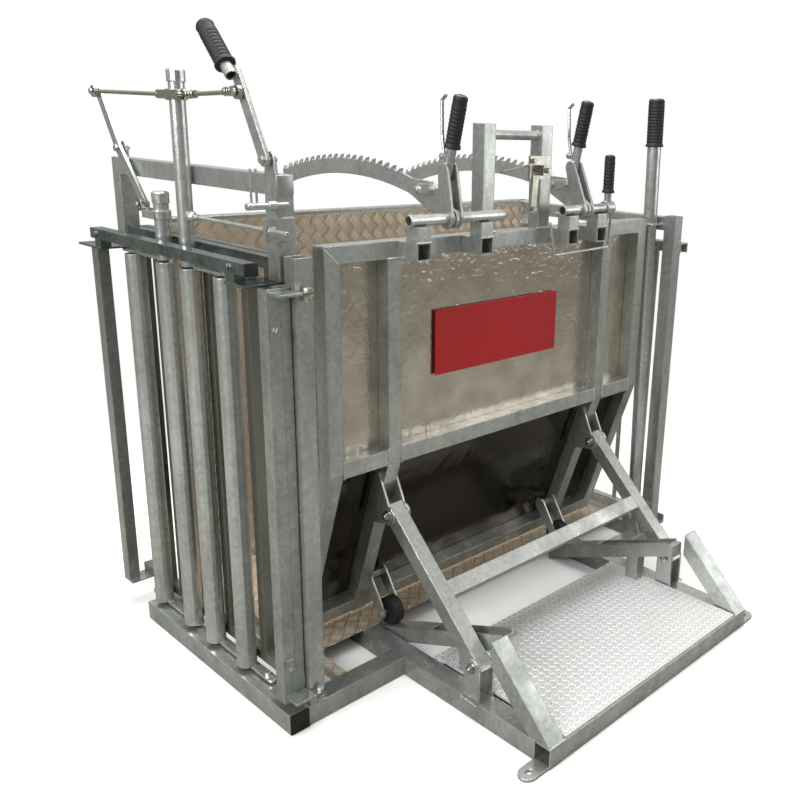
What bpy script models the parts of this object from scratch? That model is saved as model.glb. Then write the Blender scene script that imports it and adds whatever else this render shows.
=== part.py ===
"""Sheep handler: a walk-through crate with a squeeze side, a head yoke and a work platform.

Metres, +Z up. X runs along the crate away from the head yoke, Y runs away from the operator.
Sizes are measured from the outer near corner of the base, and the root empty puts the world
origin on the ground where the centre lines of the front sill and the near rail cross.
"""
import math

import bmesh
import bpy
from mathutils import Vector
from mathutils.geometry import tessellate_polygon

# Base, floor and platform
BASE_TUBE = 0.050
BASE_WALL = 0.003
CRATE_LENGTH = 1.464
CRATE_WIDTH = 0.700
STAND_LEFT = 0.337
STAND_WIDTH = 0.851
STAND_DEPTH = 0.494
BEARER = 0.030
TREAD_SHEET = 0.0045
TREAD_SIDE = 0.0055
FLOOR_START_X = 0.170
FLOOR_START_Y = 0.170
FLOOR_EDGE = 0.025
SHEET = 0.003
KICK_DEPTH = 0.140
KICK_HEIGHT = 0.055
TAB_LENGTH = 0.072
TAB_WIDTH = 0.044
TAB_SHEET = 0.006
TAB_HOLE_RADIUS = 0.008
END_CAP = 0.003
BRACE_DEPTH = 0.045
BRACE_ANGLE = math.radians(44.5)
BRACE_REACH = 0.188

# Crate posts and far side
FRAME_TUBE = 0.040
FRAME_WALL = 0.0025
FAR_FACE_Y = 0.640
FAR_TOP_Z = 1.106
FRONT_POST_X = 0.057
FRONT_POST_TOP = 1.089
REAR_TOP_Z = 1.105

# Squeeze linkage
ARM_TUBE = 0.040
LUG_Y = -0.244
LUG_Z = 0.136
CLEVIS_Y = 0.061
CLEVIS_Z = 0.422
EAR_SHEET = 0.006
EAR_RADIUS = 0.025
EAR_CLEARANCE = 0.0008
PIVOT_RADIUS = 0.006
BORE_CLEARANCE = 0.0005
ARM_TAIL = 0.021
ARM_TRAVEL = math.radians(12.0)
TILT_RATIO = -1.8
CROSS_TUBE = 0.040
CROSS_ALONG = 0.188

# Squeeze panel
PANEL_FACE_Y = 0.060
PANEL_WIDTH = 1.188
PANEL_TOP_Z = 1.097
PANEL_KINK_Z = 0.571
PANEL_FOOT_Z = 0.085
PANEL_LEAN = math.radians(18.4)
PANEL_SHEET = 0.002
MID_RAIL_RISE = 0.004
HORN_HEIGHT = 0.264
HORN_SPREAD = 0.213
HORN_OFFSET = 0.006
HORN_BAR_RADIUS = 0.012
HORN_BAR_DROP = 0.026
PLATE_WIDTH = 0.462
PLATE_HEIGHT = 0.168
PLATE_CENTRE_X = 0.748
PLATE_CENTRE_Z = 0.827
PLATE_SHEET = 0.003
PLATE_STUD = 0.006

# Rollers and the ramps that they climb
ROLLER_RADIUS = 0.0375
ROLLER_WIDTH = 0.030
ROLLER_Y = 0.148
ROLLER_Z = 0.0925
ROLLER_SIDE_GAP = 0.0025
ROLLER_LIFT = 0.0015
RAMP_BAR = 0.006
RAMP_DEPTH = 0.040
RAMP_OUTER_Y = -0.281
RAMP_INNER_Y = 0.162
RAMP_SIDE = 0.005
STRIP_SHEET = 0.005
STRIP_LENGTH = 0.190
RAMP_POST_Y = -0.160
RAMP_POST_DEPTH = 0.040

# Shafts, levers and toothed arms
SHAFT_RADIUS = 0.0135
SHAFT_WALL = 0.0026
SHAFT_Y = 0.010
SHAFT_Z = 1.146
SHAFT_1_X = (0.360, 0.660)
SHAFT_2_X = (0.890, 1.108)
BRACKET_X = (0.370, 0.571, 0.898, 1.021)
BRACKET_REACH = 0.070
LEVER_X = (0.490, 0.980)
LEVER_TOP = ((-0.017, 1.419), (0.014, 1.426))
LEVER_KNEE = ((0.0225, 1.256), (0.0505, 1.256))
LEVER_TUBE_RADIUS = 0.012
LEVER_WALL = 0.0025
FORK_SHEET = 0.006
EYE_RADIUS = 0.024
GRIP_RADIUS = 0.0175
GRIP_LENGTH = 0.118
ARC_SHEET = 0.006
ARC_RADIUS = 1.000
ARC_CROWN_Y = 0.400
ARC_CROWN_Z = 1.2615
ARC_DEPTH = 0.037
ARC_ROOT_Y = 0.118
ARC_REACH = (0.705, 0.758)
TOOTH_PITCH = 0.0262
TOOTH_HEIGHT = 0.0125
TRIGGER_RADIUS = 0.004
TRIGGER_RISE = 0.024
TRIGGER_LENGTH = 0.118
SHORT_LEVER_X = 1.085
SHORT_LEVER_RISE = 0.143
SHORT_GRIP_LENGTH = 0.102
SHORT_COLLAR = 0.030

# Front gate and head yoke
GATE_NEAR_Y = 0.016
GATE_WIDTH = 0.827
GATE_BOTTOM_Z = 0.072
GATE_TOP_Z = 1.030
STILE_DEPTH = 0.030
STILE_WIDTH = 0.034
GATE_WALL = 0.0025
BACK_TUBE = 0.025
TIE_SHEET = 0.005
RAIL_WIDTH = 0.030
RAIL_HEIGHT = 0.025
RAIL_Z = 1.055
RAIL_END_Y = 0.765
HINGE_X = 0.075
HINGE_DROP = 0.014
HINGE_EYE = 0.012
HINGE_PIN = 0.005
HINGE_SHEET = 0.006
HINGE_Z = (0.0865, 1.018)
ARCH_X = 0.070
GATE_BARS_Y = (0.200, 0.365, 0.613, 0.700)
ARCH_NEAR_Y = 0.066
ARCH_FAR_Y = 0.770
ARCH_TOP_Z = 1.249
PICKET_X = 0.033
PICKET_RADIUS = 0.0242
PICKET_WALL = 0.003
LEAF_BOTTOM_Z = 0.056
LEAF_PLATE = 0.006
LEAF_PLATE_X = (0.0310, 0.0550)
NEAR_PICKETS_Y = (0.236, 0.385)
FAR_PICKETS_Y = (0.665, 0.500)
NEAR_PLATE_Y = (0.128, 0.404)
FAR_PLATE_Y = (0.478, 0.740)
LEAF_CLEARANCE = 0.002
NECK_PIPE_X = 0.030
NECK_PIPE_RADIUS = 0.0172
TALL_PIPE_TOP = 1.450
SHORT_PIPE_TOP = 1.185
PIPE_CAP_HEIGHT = 0.026
LINK_X = 0.028
CLAMP_REACH = 0.036
LINK_NUT = 0.0078
CLAMP_SHEET = 0.004
CLAMP_HEIGHT = 0.020
YOKE_BAR = 0.008
YOKE_BAR_WIDTH = 0.028
YOKE_BAR_X = 0.036
YOKE_PIVOT = (0.065, 1.277)
YOKE_JOINT = (0.068, 0.126)
YOKE_KNEE = (0.090, 0.165)
YOKE_GRIP_END = (0.178, 0.256)
YOKE_GRIP_RADIUS = 0.019
YOKE_TUBE_RADIUS = 0.0125
ROCKER_PIVOT = (0.720, 1.273)
ROCKER_TOP = (0.083, 0.131)
ROCKER_FOOT = (-0.118, -0.126)
LOW_LINK_SPAN = (0.063, 0.015)
LINK_RADIUS = 0.0048
LINK_EYE = 0.012
LIMIT_ROD_Z = 1.141
LIMIT_ROD_END = -0.022
GUIDE_SHEET = 0.0065

# Rear leaf and its long lever
REAR_LEVER_X = 1.400
REAR_LEVER_Y = 0.056
REAR_LEVER_Z = 0.100
REAR_LEVER_TOP = (0.086, 1.450)
REAR_LEVER_RADIUS = 0.0212
REAR_LEVER_WALL = 0.0026
REAR_GRIP_LENGTH = 0.140
REAR_GRIP_WALL = 0.0035
GUIDE_ROD_RADIUS = 0.004
GUIDE_LENGTH = 0.390
GUIDE_Z = 1.078
LEAF_X = 1.485
LEAF_START_Y = 0.084
LEAF_WIDTH = 0.540
LEAF_BARS = 6
LEAF_BAR_RADIUS = 0.008
LEAF_RAIL = (0.024, 0.025)
TRACK_BOTTOM_Z = 0.0505
TRACK_TOP_Z = 1.020
TRACK_SHEET = 0.004
TRACK_DEPTH = 0.030
TRACK_CLEARANCE = 0.004
PULL_PIN_RISE = 0.900
PULL_PIN_RADIUS = 0.005
PULL_SLOT = (0.012, 0.075)

GAP = 0.0003
WELD = 0.0005
ROUND = 12

X_AXIS = Vector((1.0, 0.0, 0.0))
Y_AXIS = Vector((0.0, 1.0, 0.0))
Z_AXIS = Vector((0.0, 0.0, 1.0))

MID_X = STAND_LEFT + STAND_WIDTH / 2
ARM_X = (STAND_LEFT + BASE_TUBE / 2, STAND_LEFT + STAND_WIDTH - BASE_TUBE / 2)
DECK_Z = BASE_TUBE + GAP
PANEL_MID_Y = PANEL_FACE_Y + FRAME_TUBE / 2
PANEL_BACK_Y = PANEL_FACE_Y + FRAME_TUBE + GAP
PANEL_X = (
    MID_X - PANEL_WIDTH / 2 + FRAME_TUBE / 2,
    ARM_X[0],
    ARM_X[1],
    MID_X + PANEL_WIDTH / 2 - FRAME_TUBE / 2,
)
TOP_RAIL_Z = PANEL_TOP_Z - FRAME_TUBE / 2
TIE_Z = GATE_TOP_Z + GAP
SEAT = {}


def turned(point, pivot, angle):
    """A Y-Z point after a turn about +X round a pivot."""
    y = point[0] - pivot[0]
    z = point[1] - pivot[1]
    c = math.cos(angle)
    s = math.sin(angle)
    return (pivot[0] + y * c - z * s, pivot[1] + y * s + z * c)


def rectangle(width, depth):
    """Corners of a centred rectangle."""
    w = width / 2
    d = depth / 2
    return [(-w, -d), (w, -d), (w, d), (-w, d)]


def disc(radius, sides=ROUND):
    """Corners of a centred regular polygon."""
    steps = [2 * math.pi * i / sides for i in range(sides)]
    return [(radius * math.cos(a), radius * math.sin(a)) for a in steps]


def hexagon(radius):
    """A hexagon with its flats halved, so that it has as many corners as a disc."""
    points = []
    for i in range(ROUND):
        reach = radius if i % 2 == 0 else radius * math.cos(math.pi / 6)
        angle = 2 * math.pi * i / ROUND
        points.append((reach * math.cos(angle), reach * math.sin(angle)))
    return points


def arc(centre, radius, start, end, steps):
    """Points on a circle from one angle to another, both ends included."""
    points = []
    for i in range(steps + 1):
        angle = start + (end - start) * i / steps
        points.append((centre[0] + radius * math.cos(angle), centre[1] + radius * math.sin(angle)))
    return points


def hole(centre, radius, sides=ROUND):
    """A round hole's outline."""
    return arc(centre, radius, 0.0, 2 * math.pi * (sides - 1) / sides, sides - 1)


def strap(p, q, rp, rq, steps=6):
    """Outline round two circles, straight between them."""
    dx = q[0] - p[0]
    dy = q[1] - p[1]
    span = math.hypot(dx, dy)
    heading = math.atan2(dy, dx)
    spread = math.acos(max(-1.0, min(1.0, (rp - rq) / span)))
    first = arc(q, rq, heading - spread, heading + spread, steps)
    second = arc(p, rp, heading + spread, heading + 2 * math.pi - spread, steps)
    return first + second


def skin(bm, rings, bores=None):
    """Close a stack of matching rings, with or without a bore."""
    outer = [[bm.verts.new(p) for p in ring] for ring in rings]
    inner = [[bm.verts.new(p) for p in ring] for ring in bores] if bores else None
    count = len(outer[0])
    for stack in (outer, inner or []):
        for low, high in zip(stack, stack[1:]):
            for i in range(count):
                j = (i + 1) % count
                bm.faces.new((low[i], low[j], high[j], high[i]))
    if inner is None:
        bm.faces.new(outer[0])
        bm.faces.new(outer[-1])
        return
    for ring, bore in ((outer[0], inner[0]), (outer[-1], inner[-1])):
        for i in range(count):
            j = (i + 1) % count
            bm.faces.new((ring[i], ring[j], bore[j], bore[i]))


def add_run(bm, path, section, bore=None, across=None, ends=(None, None)):
    """Sweep a section along a flat path, mitred at its bends."""
    points = [Vector(p) for p in path]
    runs = [(b - a).normalized() for a, b in zip(points, points[1:])]
    if across is None:
        across = Y_AXIS if abs(runs[0].x) > 0.9 else X_AXIS
    across = Vector(across).normalized()
    rings = []
    bores = []
    for i, point in enumerate(points):
        along = runs[max(i - 1, 0)]
        normal = along
        if 0 < i < len(points) - 1:
            normal = runs[i - 1] + runs[i]
        elif i == 0 and ends[0] is not None:
            normal = Vector(ends[0])
        elif i > 0 and ends[1] is not None:
            normal = Vector(ends[1])
        rise = along.cross(across)
        for shape, stack in ((section, rings), (bore or [], bores)):
            ring = []
            for a, b in shape:
                start = point + across * a + rise * b
                slide = (point - start).dot(normal) / along.dot(normal)
                ring.append(start + along * slide)
            stack.append(ring)
    skin(bm, rings, bores if bore else None)


def add_tube(bm, path, width, depth=None, wall=FRAME_WALL, across=None, ends=(None, None)):
    """A rectangular hollow section, open at both ends."""
    depth = depth or width
    inside = rectangle(width - 2 * wall, depth - 2 * wall)
    add_run(bm, path, rectangle(width, depth), inside, across, ends)


def add_pipe(bm, path, radius, wall, across=None, sides=ROUND):
    """A round pipe, open at both ends."""
    add_run(bm, path, disc(radius, sides), disc(radius - wall, sides), across)


def add_rod(bm, path, radius, across=None, sides=8):
    """A solid round bar."""
    add_run(bm, path, disc(radius, sides), None, across)


def add_block(bm, low, high):
    """A box between two corners."""
    middle = [(a + b) / 2 for a, b in zip(low, high)]
    path = [(middle[0], middle[1], low[2]), (middle[0], middle[1], high[2])]
    add_run(bm, path, rectangle(high[0] - low[0], high[1] - low[1]))


def add_plate(bm, outline, holes, axis, level, thickness):
    """A flat plate with holes, square to an axis."""
    loops = [outline] + list(holes)
    flat = [Vector((p[0], p[1], 0.0)) for loop in loops for p in loop]
    triangles = tessellate_polygon([[Vector((p[0], p[1], 0.0)) for p in loop] for loop in loops])
    sides = []
    for height in (level, level + thickness):
        row = []
        for p in flat:
            spot = {"X": (height, p.x, p.y), "Y": (p.x, height, p.y), "Z": (p.x, p.y, height)}[axis]
            row.append(bm.verts.new(spot))
        sides.append(row)
        for triangle in triangles:
            bm.faces.new([row[i] for i in triangle])
    start = 0
    for loop in loops:
        for i in range(len(loop)):
            a = start + i
            b = start + (i + 1) % len(loop)
            bm.faces.new((sides[0][a], sides[0][b], sides[1][b], sides[1][a]))
        start += len(loop)


def add_turned(bm, start, along, stations):
    """Stack sections at distances along an axis."""
    along = Vector(along).normalized()
    across = Y_AXIS if abs(along.x) > 0.9 else X_AXIS
    rise = along.cross(across)
    rings = []
    for distance, section in stations:
        centre = Vector(start) + along * distance
        rings.append([centre + across * a + rise * b for a, b in section])
    skin(bm, rings)


def add_bolt(bm, seat, along, grip, radius, free_head=False):
    """A hexagon bolt whose head bears on the seat, with its nut after the grip."""
    head = hexagon(radius * 1.75)
    shank = disc(radius)
    high = radius * 1.3
    under = -GAP if free_head else WELD
    nut = grip - WELD
    stations = [(-high - GAP, head), (under, head), (under, shank), (nut, shank)]
    stations += [(nut, head), (nut + high, head), (nut + high, shank)]
    stations += [(nut + high + radius * 0.7, shank)]
    add_turned(bm, seat, along, stations)


def add_stud(bm, seat, along, height, radius):
    """A screw head standing on a face."""
    add_turned(bm, seat, along, [(-WELD, hexagon(radius)), (height, hexagon(radius))])


def material(name, colour, roughness, metallic):
    """A plain Principled material."""
    found = bpy.data.materials.get(name)
    if found:
        return found
    made = bpy.data.materials.new(name)
    made.use_nodes = True
    shader = made.node_tree.nodes["Principled BSDF"]
    shader.inputs["Base Color"].default_value = (*colour, 1.0)
    shader.inputs["Roughness"].default_value = roughness
    shader.inputs["Metallic"].default_value = metallic
    return made


LOOKS = {
    "galvanised": ((0.46, 0.48, 0.48), 0.42, 0.85),
    "zinc_plate": ((0.52, 0.50, 0.44), 0.35, 0.9),
    "tread_aluminium": ((0.66, 0.60, 0.52), 0.38, 0.8),
    "chequer_steel": ((0.55, 0.56, 0.56), 0.45, 0.85),
    "panel_aluminium": ((0.60, 0.58, 0.54), 0.25, 0.9),
    "dark_panel": ((0.22, 0.20, 0.18), 0.20, 0.9),
    "black_rubber": ((0.02, 0.02, 0.02), 0.75, 0.0),
    "black_plastic": ((0.03, 0.03, 0.03), 0.5, 0.0),
    "red_paint": ((0.42, 0.01, 0.015), 0.4, 0.0),
}


def add_empty(name, parent, spot):
    """An empty at a spot in crate sizes."""
    empty = bpy.data.objects.new(name, None)
    empty.empty_display_size = 0.05
    bpy.context.scene.collection.objects.link(empty)
    home = Vector((0.0, 0.0, 0.0))
    if parent:
        empty.parent = bpy.data.objects[parent]
        home = SEAT[parent]
    SEAT[name] = Vector(spot)
    empty.location = SEAT[name] - home
    return empty


def split_pieces(bm):
    """Faces of the first closed piece, and the faces of all the others."""
    bm.verts.index_update()
    bm.verts.ensure_lookup_table()
    seen = set()
    waiting = [bm.verts[0]]
    while waiting:
        vert = waiting.pop()
        if vert.index in seen:
            continue
        seen.add(vert.index)
        for edge in vert.link_edges:
            waiting.append(edge.other_vert(vert))
    first = [face for face in bm.faces if face.verts[0].index in seen]
    others = [face for face in bm.faces if face.verts[0].index not in seen]
    return first, others


def mesh_of(name, faces, look):
    """A mesh made of some faces."""
    spots = []
    numbers = {}
    corners = []
    for face in faces:
        row = []
        for vert in face.verts:
            if vert.index not in numbers:
                numbers[vert.index] = len(spots)
                spots.append(vert.co[:])
            row.append(numbers[vert.index])
        corners.append(row)
    mesh = bpy.data.meshes.new(name)
    mesh.from_pydata(spots, [], corners)
    mesh.materials.append(material(look, *LOOKS[look]))
    mesh.shade_smooth()
    mesh.set_sharp_from_angle(angle=math.radians(35.0))
    return mesh


def hang(name, mesh, parent, place):
    """An object with a mesh, hung from an empty."""
    made = bpy.data.objects.new(name, mesh)
    bpy.context.scene.collection.objects.link(made)
    made.parent = parent
    made.location = place
    return made


def combine(target, helper, operation):
    """Join a hidden helper to an object, or cut it away."""
    helper.hide_render = True
    helper.display_type = "WIRE"
    step = target.modifiers.new(helper.name, "BOOLEAN")
    step.operation = operation
    step.solver = "EXACT"
    step.use_self = operation == "UNION"
    step.object = helper


def finish(name, bm, parent, look):
    """Turn a mesh into a named object, its overlapping pieces welded into one."""
    home = SEAT[parent]
    for vert in bm.verts:
        vert.co -= home
    bmesh.ops.recalc_face_normals(bm, faces=bm.faces[:])
    first, others = split_pieces(bm)
    hook = bpy.data.objects[parent]
    made = hang(name, mesh_of(name, first, look), hook, (0.0, 0.0, 0.0))
    if others:
        helper = hang(name + "_weld", mesh_of(name + "_weld", others, look), hook, (0.0, 0.0, 0.0))
        combine(made, helper, "UNION")
    bm.free()
    return made


def bore(target, name, path, radius):
    """Cut a round hole along a straight path."""
    bm = bmesh.new()
    home = SEAT[target.parent.name] + target.location
    add_run(bm, path, disc(radius))
    for vert in bm.verts:
        vert.co -= home
    bmesh.ops.recalc_face_normals(bm, faces=bm.faces[:])
    mesh = bpy.data.meshes.new(name)
    bm.to_mesh(mesh)
    bm.free()
    combine(target, hang(name, mesh, target.parent, target.location), "DIFFERENCE")


# Base


def make_base_frame():
    """Front sill, rear sill, far rail and the two short near rails."""
    bm = bmesh.new()
    t = BASE_TUBE
    half = t / 2
    far = CRATE_WIDTH - half
    rear = CRATE_LENGTH - half
    stand_right = STAND_LEFT + STAND_WIDTH
    add_tube(bm, [(half, 0, half), (half, CRATE_WIDTH, half)], t, t, BASE_WALL)
    add_tube(bm, [(t - WELD, far, half), (CRATE_LENGTH, far, half)], t, t, BASE_WALL)
    add_tube(bm, [(rear, 0, half), (rear, CRATE_WIDTH - t + WELD, half)], t, t, BASE_WALL)
    add_tube(bm, [(t - WELD, half, half), (STAND_LEFT - GAP, half, half)], t, t, BASE_WALL)
    add_tube(bm, [(stand_right + GAP, half, half), (CRATE_LENGTH - t + WELD, half, half)], t, t, BASE_WALL)
    finish("base_frame", bm, "handler_root", "galvanised")


def make_platform_frame():
    """Two long side rails, the front rail and a bearer under the tread."""
    bm = bmesh.new()
    t = BASE_TUBE
    half = t / 2
    for x in ARM_X:
        start = (x, -STAND_DEPTH + t - WELD, half)
        add_tube(bm, [start, (x, CRATE_WIDTH - t - GAP, half)], t, t, BASE_WALL)
    front = -STAND_DEPTH + half
    add_tube(bm, [(STAND_LEFT, front, half), (STAND_LEFT + STAND_WIDTH, front, half)], t, t, BASE_WALL)
    left = STAND_LEFT + t - WELD
    right = STAND_LEFT + STAND_WIDTH - t - GAP
    level = t - BEARER / 2
    add_tube(bm, [(left, -0.075, level), (right, -0.075, level)], BEARER, BEARER, BASE_WALL)
    add_anchor_tabs(bm)
    finish("platform_frame", bm, "handler_root", "galvanised")


def make_platform_tread():
    """The chequer plate that the operator stands on."""
    bm = bmesh.new()
    inset = BASE_TUBE + TREAD_SIDE
    low = (STAND_LEFT + inset, -STAND_DEPTH + 0.004, DECK_Z)
    high = (STAND_LEFT + STAND_WIDTH - inset, -0.055, DECK_Z + TREAD_SHEET)
    add_block(bm, low, high)
    finish("platform_tread", bm, "handler_root", "chequer_steel")


def make_braces():
    """Slanted tubes on the platform's side rails."""
    foot_y = -STAND_DEPTH + 0.001 + BRACE_DEPTH / 2 / math.sin(BRACE_ANGLE)
    top_y = -STAND_DEPTH + BRACE_REACH
    top_z = DECK_Z + (top_y - foot_y) * math.tan(BRACE_ANGLE)
    for side, x in zip(("left", "right"), ARM_X):
        bm = bmesh.new()
        path = [(x, foot_y, DECK_Z), (x, top_y, top_z)]
        add_tube(bm, path, BASE_TUBE, BRACE_DEPTH, BASE_WALL, X_AXIS, ((0, 0, 1), (0, 1, 0)))
        finish("platform_brace_" + side, bm, "handler_root", "galvanised")


def add_anchor_tabs(bm):
    """Flat tabs with a peg hole at the platform's front corners."""
    mid_y = -STAND_DEPTH + TAB_WIDTH / 2 + 0.002
    for x, sign in ((STAND_LEFT + 0.003, -1), (STAND_LEFT + STAND_WIDTH - 0.003, 1)):
        tip = x + sign * (TAB_LENGTH - TAB_WIDTH / 2)
        turn = 0.0 if sign > 0 else math.pi
        outline = arc((tip, mid_y), TAB_WIDTH / 2, turn - math.pi / 2, turn + math.pi / 2, 8)
        outline += [(x, mid_y + sign * TAB_WIDTH / 2), (x, mid_y - sign * TAB_WIDTH / 2)]
        spot = (x + sign * TAB_LENGTH * 0.62, mid_y)
        add_plate(bm, outline, [hole(spot, TAB_HOLE_RADIUS)], "Z", 0.0, TAB_SHEET)


def make_sill_cap():
    """Cap over the open near end of the front sill."""
    bm = bmesh.new()
    add_block(bm, (0, -END_CAP - GAP, 0.0), (BASE_TUBE, -GAP, BASE_TUBE))
    finish("sill_cap", bm, "handler_root", "black_plastic")


def make_floor():
    """Crate floor sheet and the small tube under its front edge."""
    bm = bmesh.new()
    back = CRATE_LENGTH - FRAME_TUBE - GAP
    far = FAR_FACE_Y + SHEET
    add_block(bm, (FLOOR_START_X, FLOOR_START_Y, DECK_Z), (back, far, DECK_Z + SHEET))
    x = FLOOR_START_X + FLOOR_EDGE / 2
    z = DECK_Z + WELD - FLOOR_EDGE / 2
    start = (x, BASE_TUBE + GAP, z)
    end = (x, CRATE_WIDTH - BASE_TUBE - GAP, z)
    add_tube(bm, [start, end], FLOOR_EDGE, FLOOR_EDGE, BASE_WALL)
    finish("floor", bm, "handler_root", "tread_aluminium")


def make_far_side():
    """Far panel sheet, its kick sheet and the frame behind them."""
    panel_foot = DECK_Z + KICK_HEIGHT
    left = FLOOR_START_X - 0.050
    bm = bmesh.new()
    right = CRATE_LENGTH - FRAME_TUBE - GAP
    top = FAR_TOP_Z - 0.012
    add_block(bm, (left, FAR_FACE_Y, panel_foot), (right, FAR_FACE_Y + SHEET, top))
    heading = math.atan2(KICK_HEIGHT, KICK_DEPTH)
    low = (FAR_FACE_Y + WELD - KICK_DEPTH, DECK_Z + SHEET + GAP)
    high = (FAR_FACE_Y + WELD, low[1] + KICK_HEIGHT)
    drop = SHEET / math.cos(heading)
    outline = [low, (low[0] + drop / math.tan(heading), low[1]), (high[0], high[1] - drop), high]
    add_plate(bm, outline, [], "X", FLOOR_START_X, right - FLOOR_START_X)
    finish("far_panel", bm, "handler_root", "tread_aluminium")
    bm = bmesh.new()
    t = FRAME_TUBE
    y = FAR_FACE_Y + SHEET + GAP + t / 2
    rail_z = FAR_TOP_Z - t / 2
    span = CRATE_LENGTH - t / 2 - (left + t / 2)
    for i in range(4):
        x = left + t / 2 + span * i / 3
        high = REAR_TOP_Z if i == 3 else rail_z - t / 2 + WELD
        add_tube(bm, [(x, y, DECK_Z), (x, y, high)], t)
    add_tube(bm, [(left, y, rail_z), (CRATE_LENGTH - t + WELD, y, rail_z)], t)
    finish("far_frame", bm, "handler_root", "galvanised")


def make_front_post():
    """Near front post that carries the gate's hinges."""
    bm = bmesh.new()
    x = FRONT_POST_X + FRAME_TUBE / 2
    y = FRAME_TUBE / 2
    add_tube(bm, [(x, y, DECK_Z), (x, y, FRONT_POST_TOP)], FRAME_TUBE)
    add_gate_hinges(bm)
    finish("front_post", bm, "handler_root", "galvanised")


def add_gate_hinges(bm):
    """Hinge brackets on the front post, each with an upright pin."""
    spot = (HINGE_X, -HINGE_DROP)
    for z in HINGE_Z:
        level = z - GAP - HINGE_SHEET
        lead = spot[0] - HINGE_EYE
        outline = arc(spot, HINGE_EYE, math.pi, 2 * math.pi, 8)
        outline += [(lead + 2 * HINGE_EYE, WELD), (lead, WELD)]
        bore_hole = hole(spot, HINGE_PIN + BORE_CLEARANCE)
        add_plate(bm, outline, [bore_hole], "Z", level, HINGE_SHEET)
        grip = 2 * HINGE_SHEET + GAP
        add_bolt(bm, (spot[0], spot[1], z + HINGE_SHEET), (0, 0, -1), grip, HINGE_PIN, True)


def make_rear_frame():
    """Near rear post, the rail over the way out, and what guides the lever and the leaf."""
    bm = bmesh.new()
    t = FRAME_TUBE
    x = CRATE_LENGTH - t / 2
    add_tube(bm, [(x, t / 2, DECK_Z), (x, t / 2, REAR_TOP_Z)], t)
    far = FAR_FACE_Y + SHEET
    z = REAR_TOP_Z - 0.025
    add_tube(bm, [(x, t - WELD, z), (x, far, z)], t)
    add_lever_guide(bm)
    add_rear_tracks(bm)
    add_lever_foot(bm)
    finish("rear_frame", bm, "handler_root", "galvanised")


def add_lever_guide(bm):
    """Bent rod that guides the long lever."""
    post_x = CRATE_LENGTH - FRAME_TUBE + WELD
    reach = REAR_LEVER_X - REAR_LEVER_RADIUS - 0.007
    near = FRAME_TUBE + 0.012
    far = near + GUIDE_LENGTH
    path = [(post_x, near, GUIDE_Z), (reach, near, GUIDE_Z), (reach, far, GUIDE_Z), (post_x, far, GUIDE_Z)]
    add_rod(bm, path, GUIDE_ROD_RADIUS, Z_AXIS)


def track_profile(base_z, mouth_up):
    """Outline of a rear track's channel in X and Z."""
    inner = LEAF_RAIL[0] / 2 + TRACK_CLEARANCE
    left = CRATE_LENGTH + GAP
    right = LEAF_X + inner + TRACK_SHEET
    sign = 1 if mouth_up else -1
    mouth = base_z + sign * TRACK_DEPTH
    floor = base_z + sign * TRACK_SHEET
    slot = (LEAF_X - inner, LEAF_X + inner)
    points = [(left, base_z), (right, base_z), (right, mouth), (slot[1], mouth), (slot[1], floor)]
    return points + [(slot[0], floor), (slot[0], mouth), (left, mouth)]


def add_rear_tracks(bm):
    """Channels that guide the rear leaf at top and bottom."""
    add_plate(bm, track_profile(TRACK_BOTTOM_Z, True), [], "Y", 0.0, CRATE_WIDTH)
    add_plate(bm, track_profile(TRACK_TOP_Z, False), [], "Y", 0.0, CRATE_WIDTH)
    for z in (TRACK_BOTTOM_Z + TRACK_DEPTH / 2, TRACK_TOP_Z - TRACK_DEPTH / 2):
        low = (CRATE_LENGTH - WELD, 0.006, z - 0.008)
        add_block(bm, low, (CRATE_LENGTH + GAP + WELD, FRAME_TUBE - 0.006, z + 0.008))


def add_lever_foot(bm):
    """Two ears on the near rail and the bolt of the long lever."""
    r = EAR_RADIUS
    pivot = (REAR_LEVER_Y, REAR_LEVER_Z)
    outline = arc(pivot, r, 0.0, math.pi * 0.85, 8)
    outline += [(0.008, DECK_Z), (BASE_TUBE, DECK_Z), (pivot[0] + r, DECK_Z + 0.016)]
    bore_hole = hole(pivot, PIVOT_RADIUS + BORE_CLEARANCE)
    inside = REAR_LEVER_RADIUS + EAR_CLEARANCE
    for x in (REAR_LEVER_X - inside - EAR_SHEET, REAR_LEVER_X + inside):
        add_plate(bm, outline, [bore_hole], "X", x, EAR_SHEET)
    seat = (REAR_LEVER_X - inside - EAR_SHEET, pivot[0], pivot[1])
    add_bolt(bm, seat, X_AXIS, 2 * (inside + EAR_SHEET), PIVOT_RADIUS)


# Squeeze linkage


def make_lugs():
    """Pairs of round-topped ears on the side rails, with the arms' bolts."""
    pivot = (LUG_Y, LUG_Z)
    outline = arc(pivot, EAR_RADIUS, 0.0, math.pi, 8)
    outline += [(LUG_Y - EAR_RADIUS, DECK_Z), (LUG_Y + EAR_RADIUS, DECK_Z)]
    inside = ARM_TUBE / 2 + EAR_CLEARANCE
    for side, x in zip(("left", "right"), ARM_X):
        bm = bmesh.new()
        bore_hole = hole(pivot, PIVOT_RADIUS + BORE_CLEARANCE)
        add_plate(bm, outline, [bore_hole], "X", x - inside - EAR_SHEET, EAR_SHEET)
        add_plate(bm, outline, [bore_hole], "X", x + inside, EAR_SHEET)
        add_bolt(bm, (x - inside - EAR_SHEET, *pivot), X_AXIS, 2 * (inside + EAR_SHEET), PIVOT_RADIUS)
        finish("arm_lug_" + side, bm, "handler_root", "galvanised")


def arm_direction():
    """Unit Y-Z direction from an arm's lower bolt to its upper bolt."""
    dy = CLEVIS_Y - LUG_Y
    dz = CLEVIS_Z - LUG_Z
    span = math.hypot(dy, dz)
    return dy / span, dz / span


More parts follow.
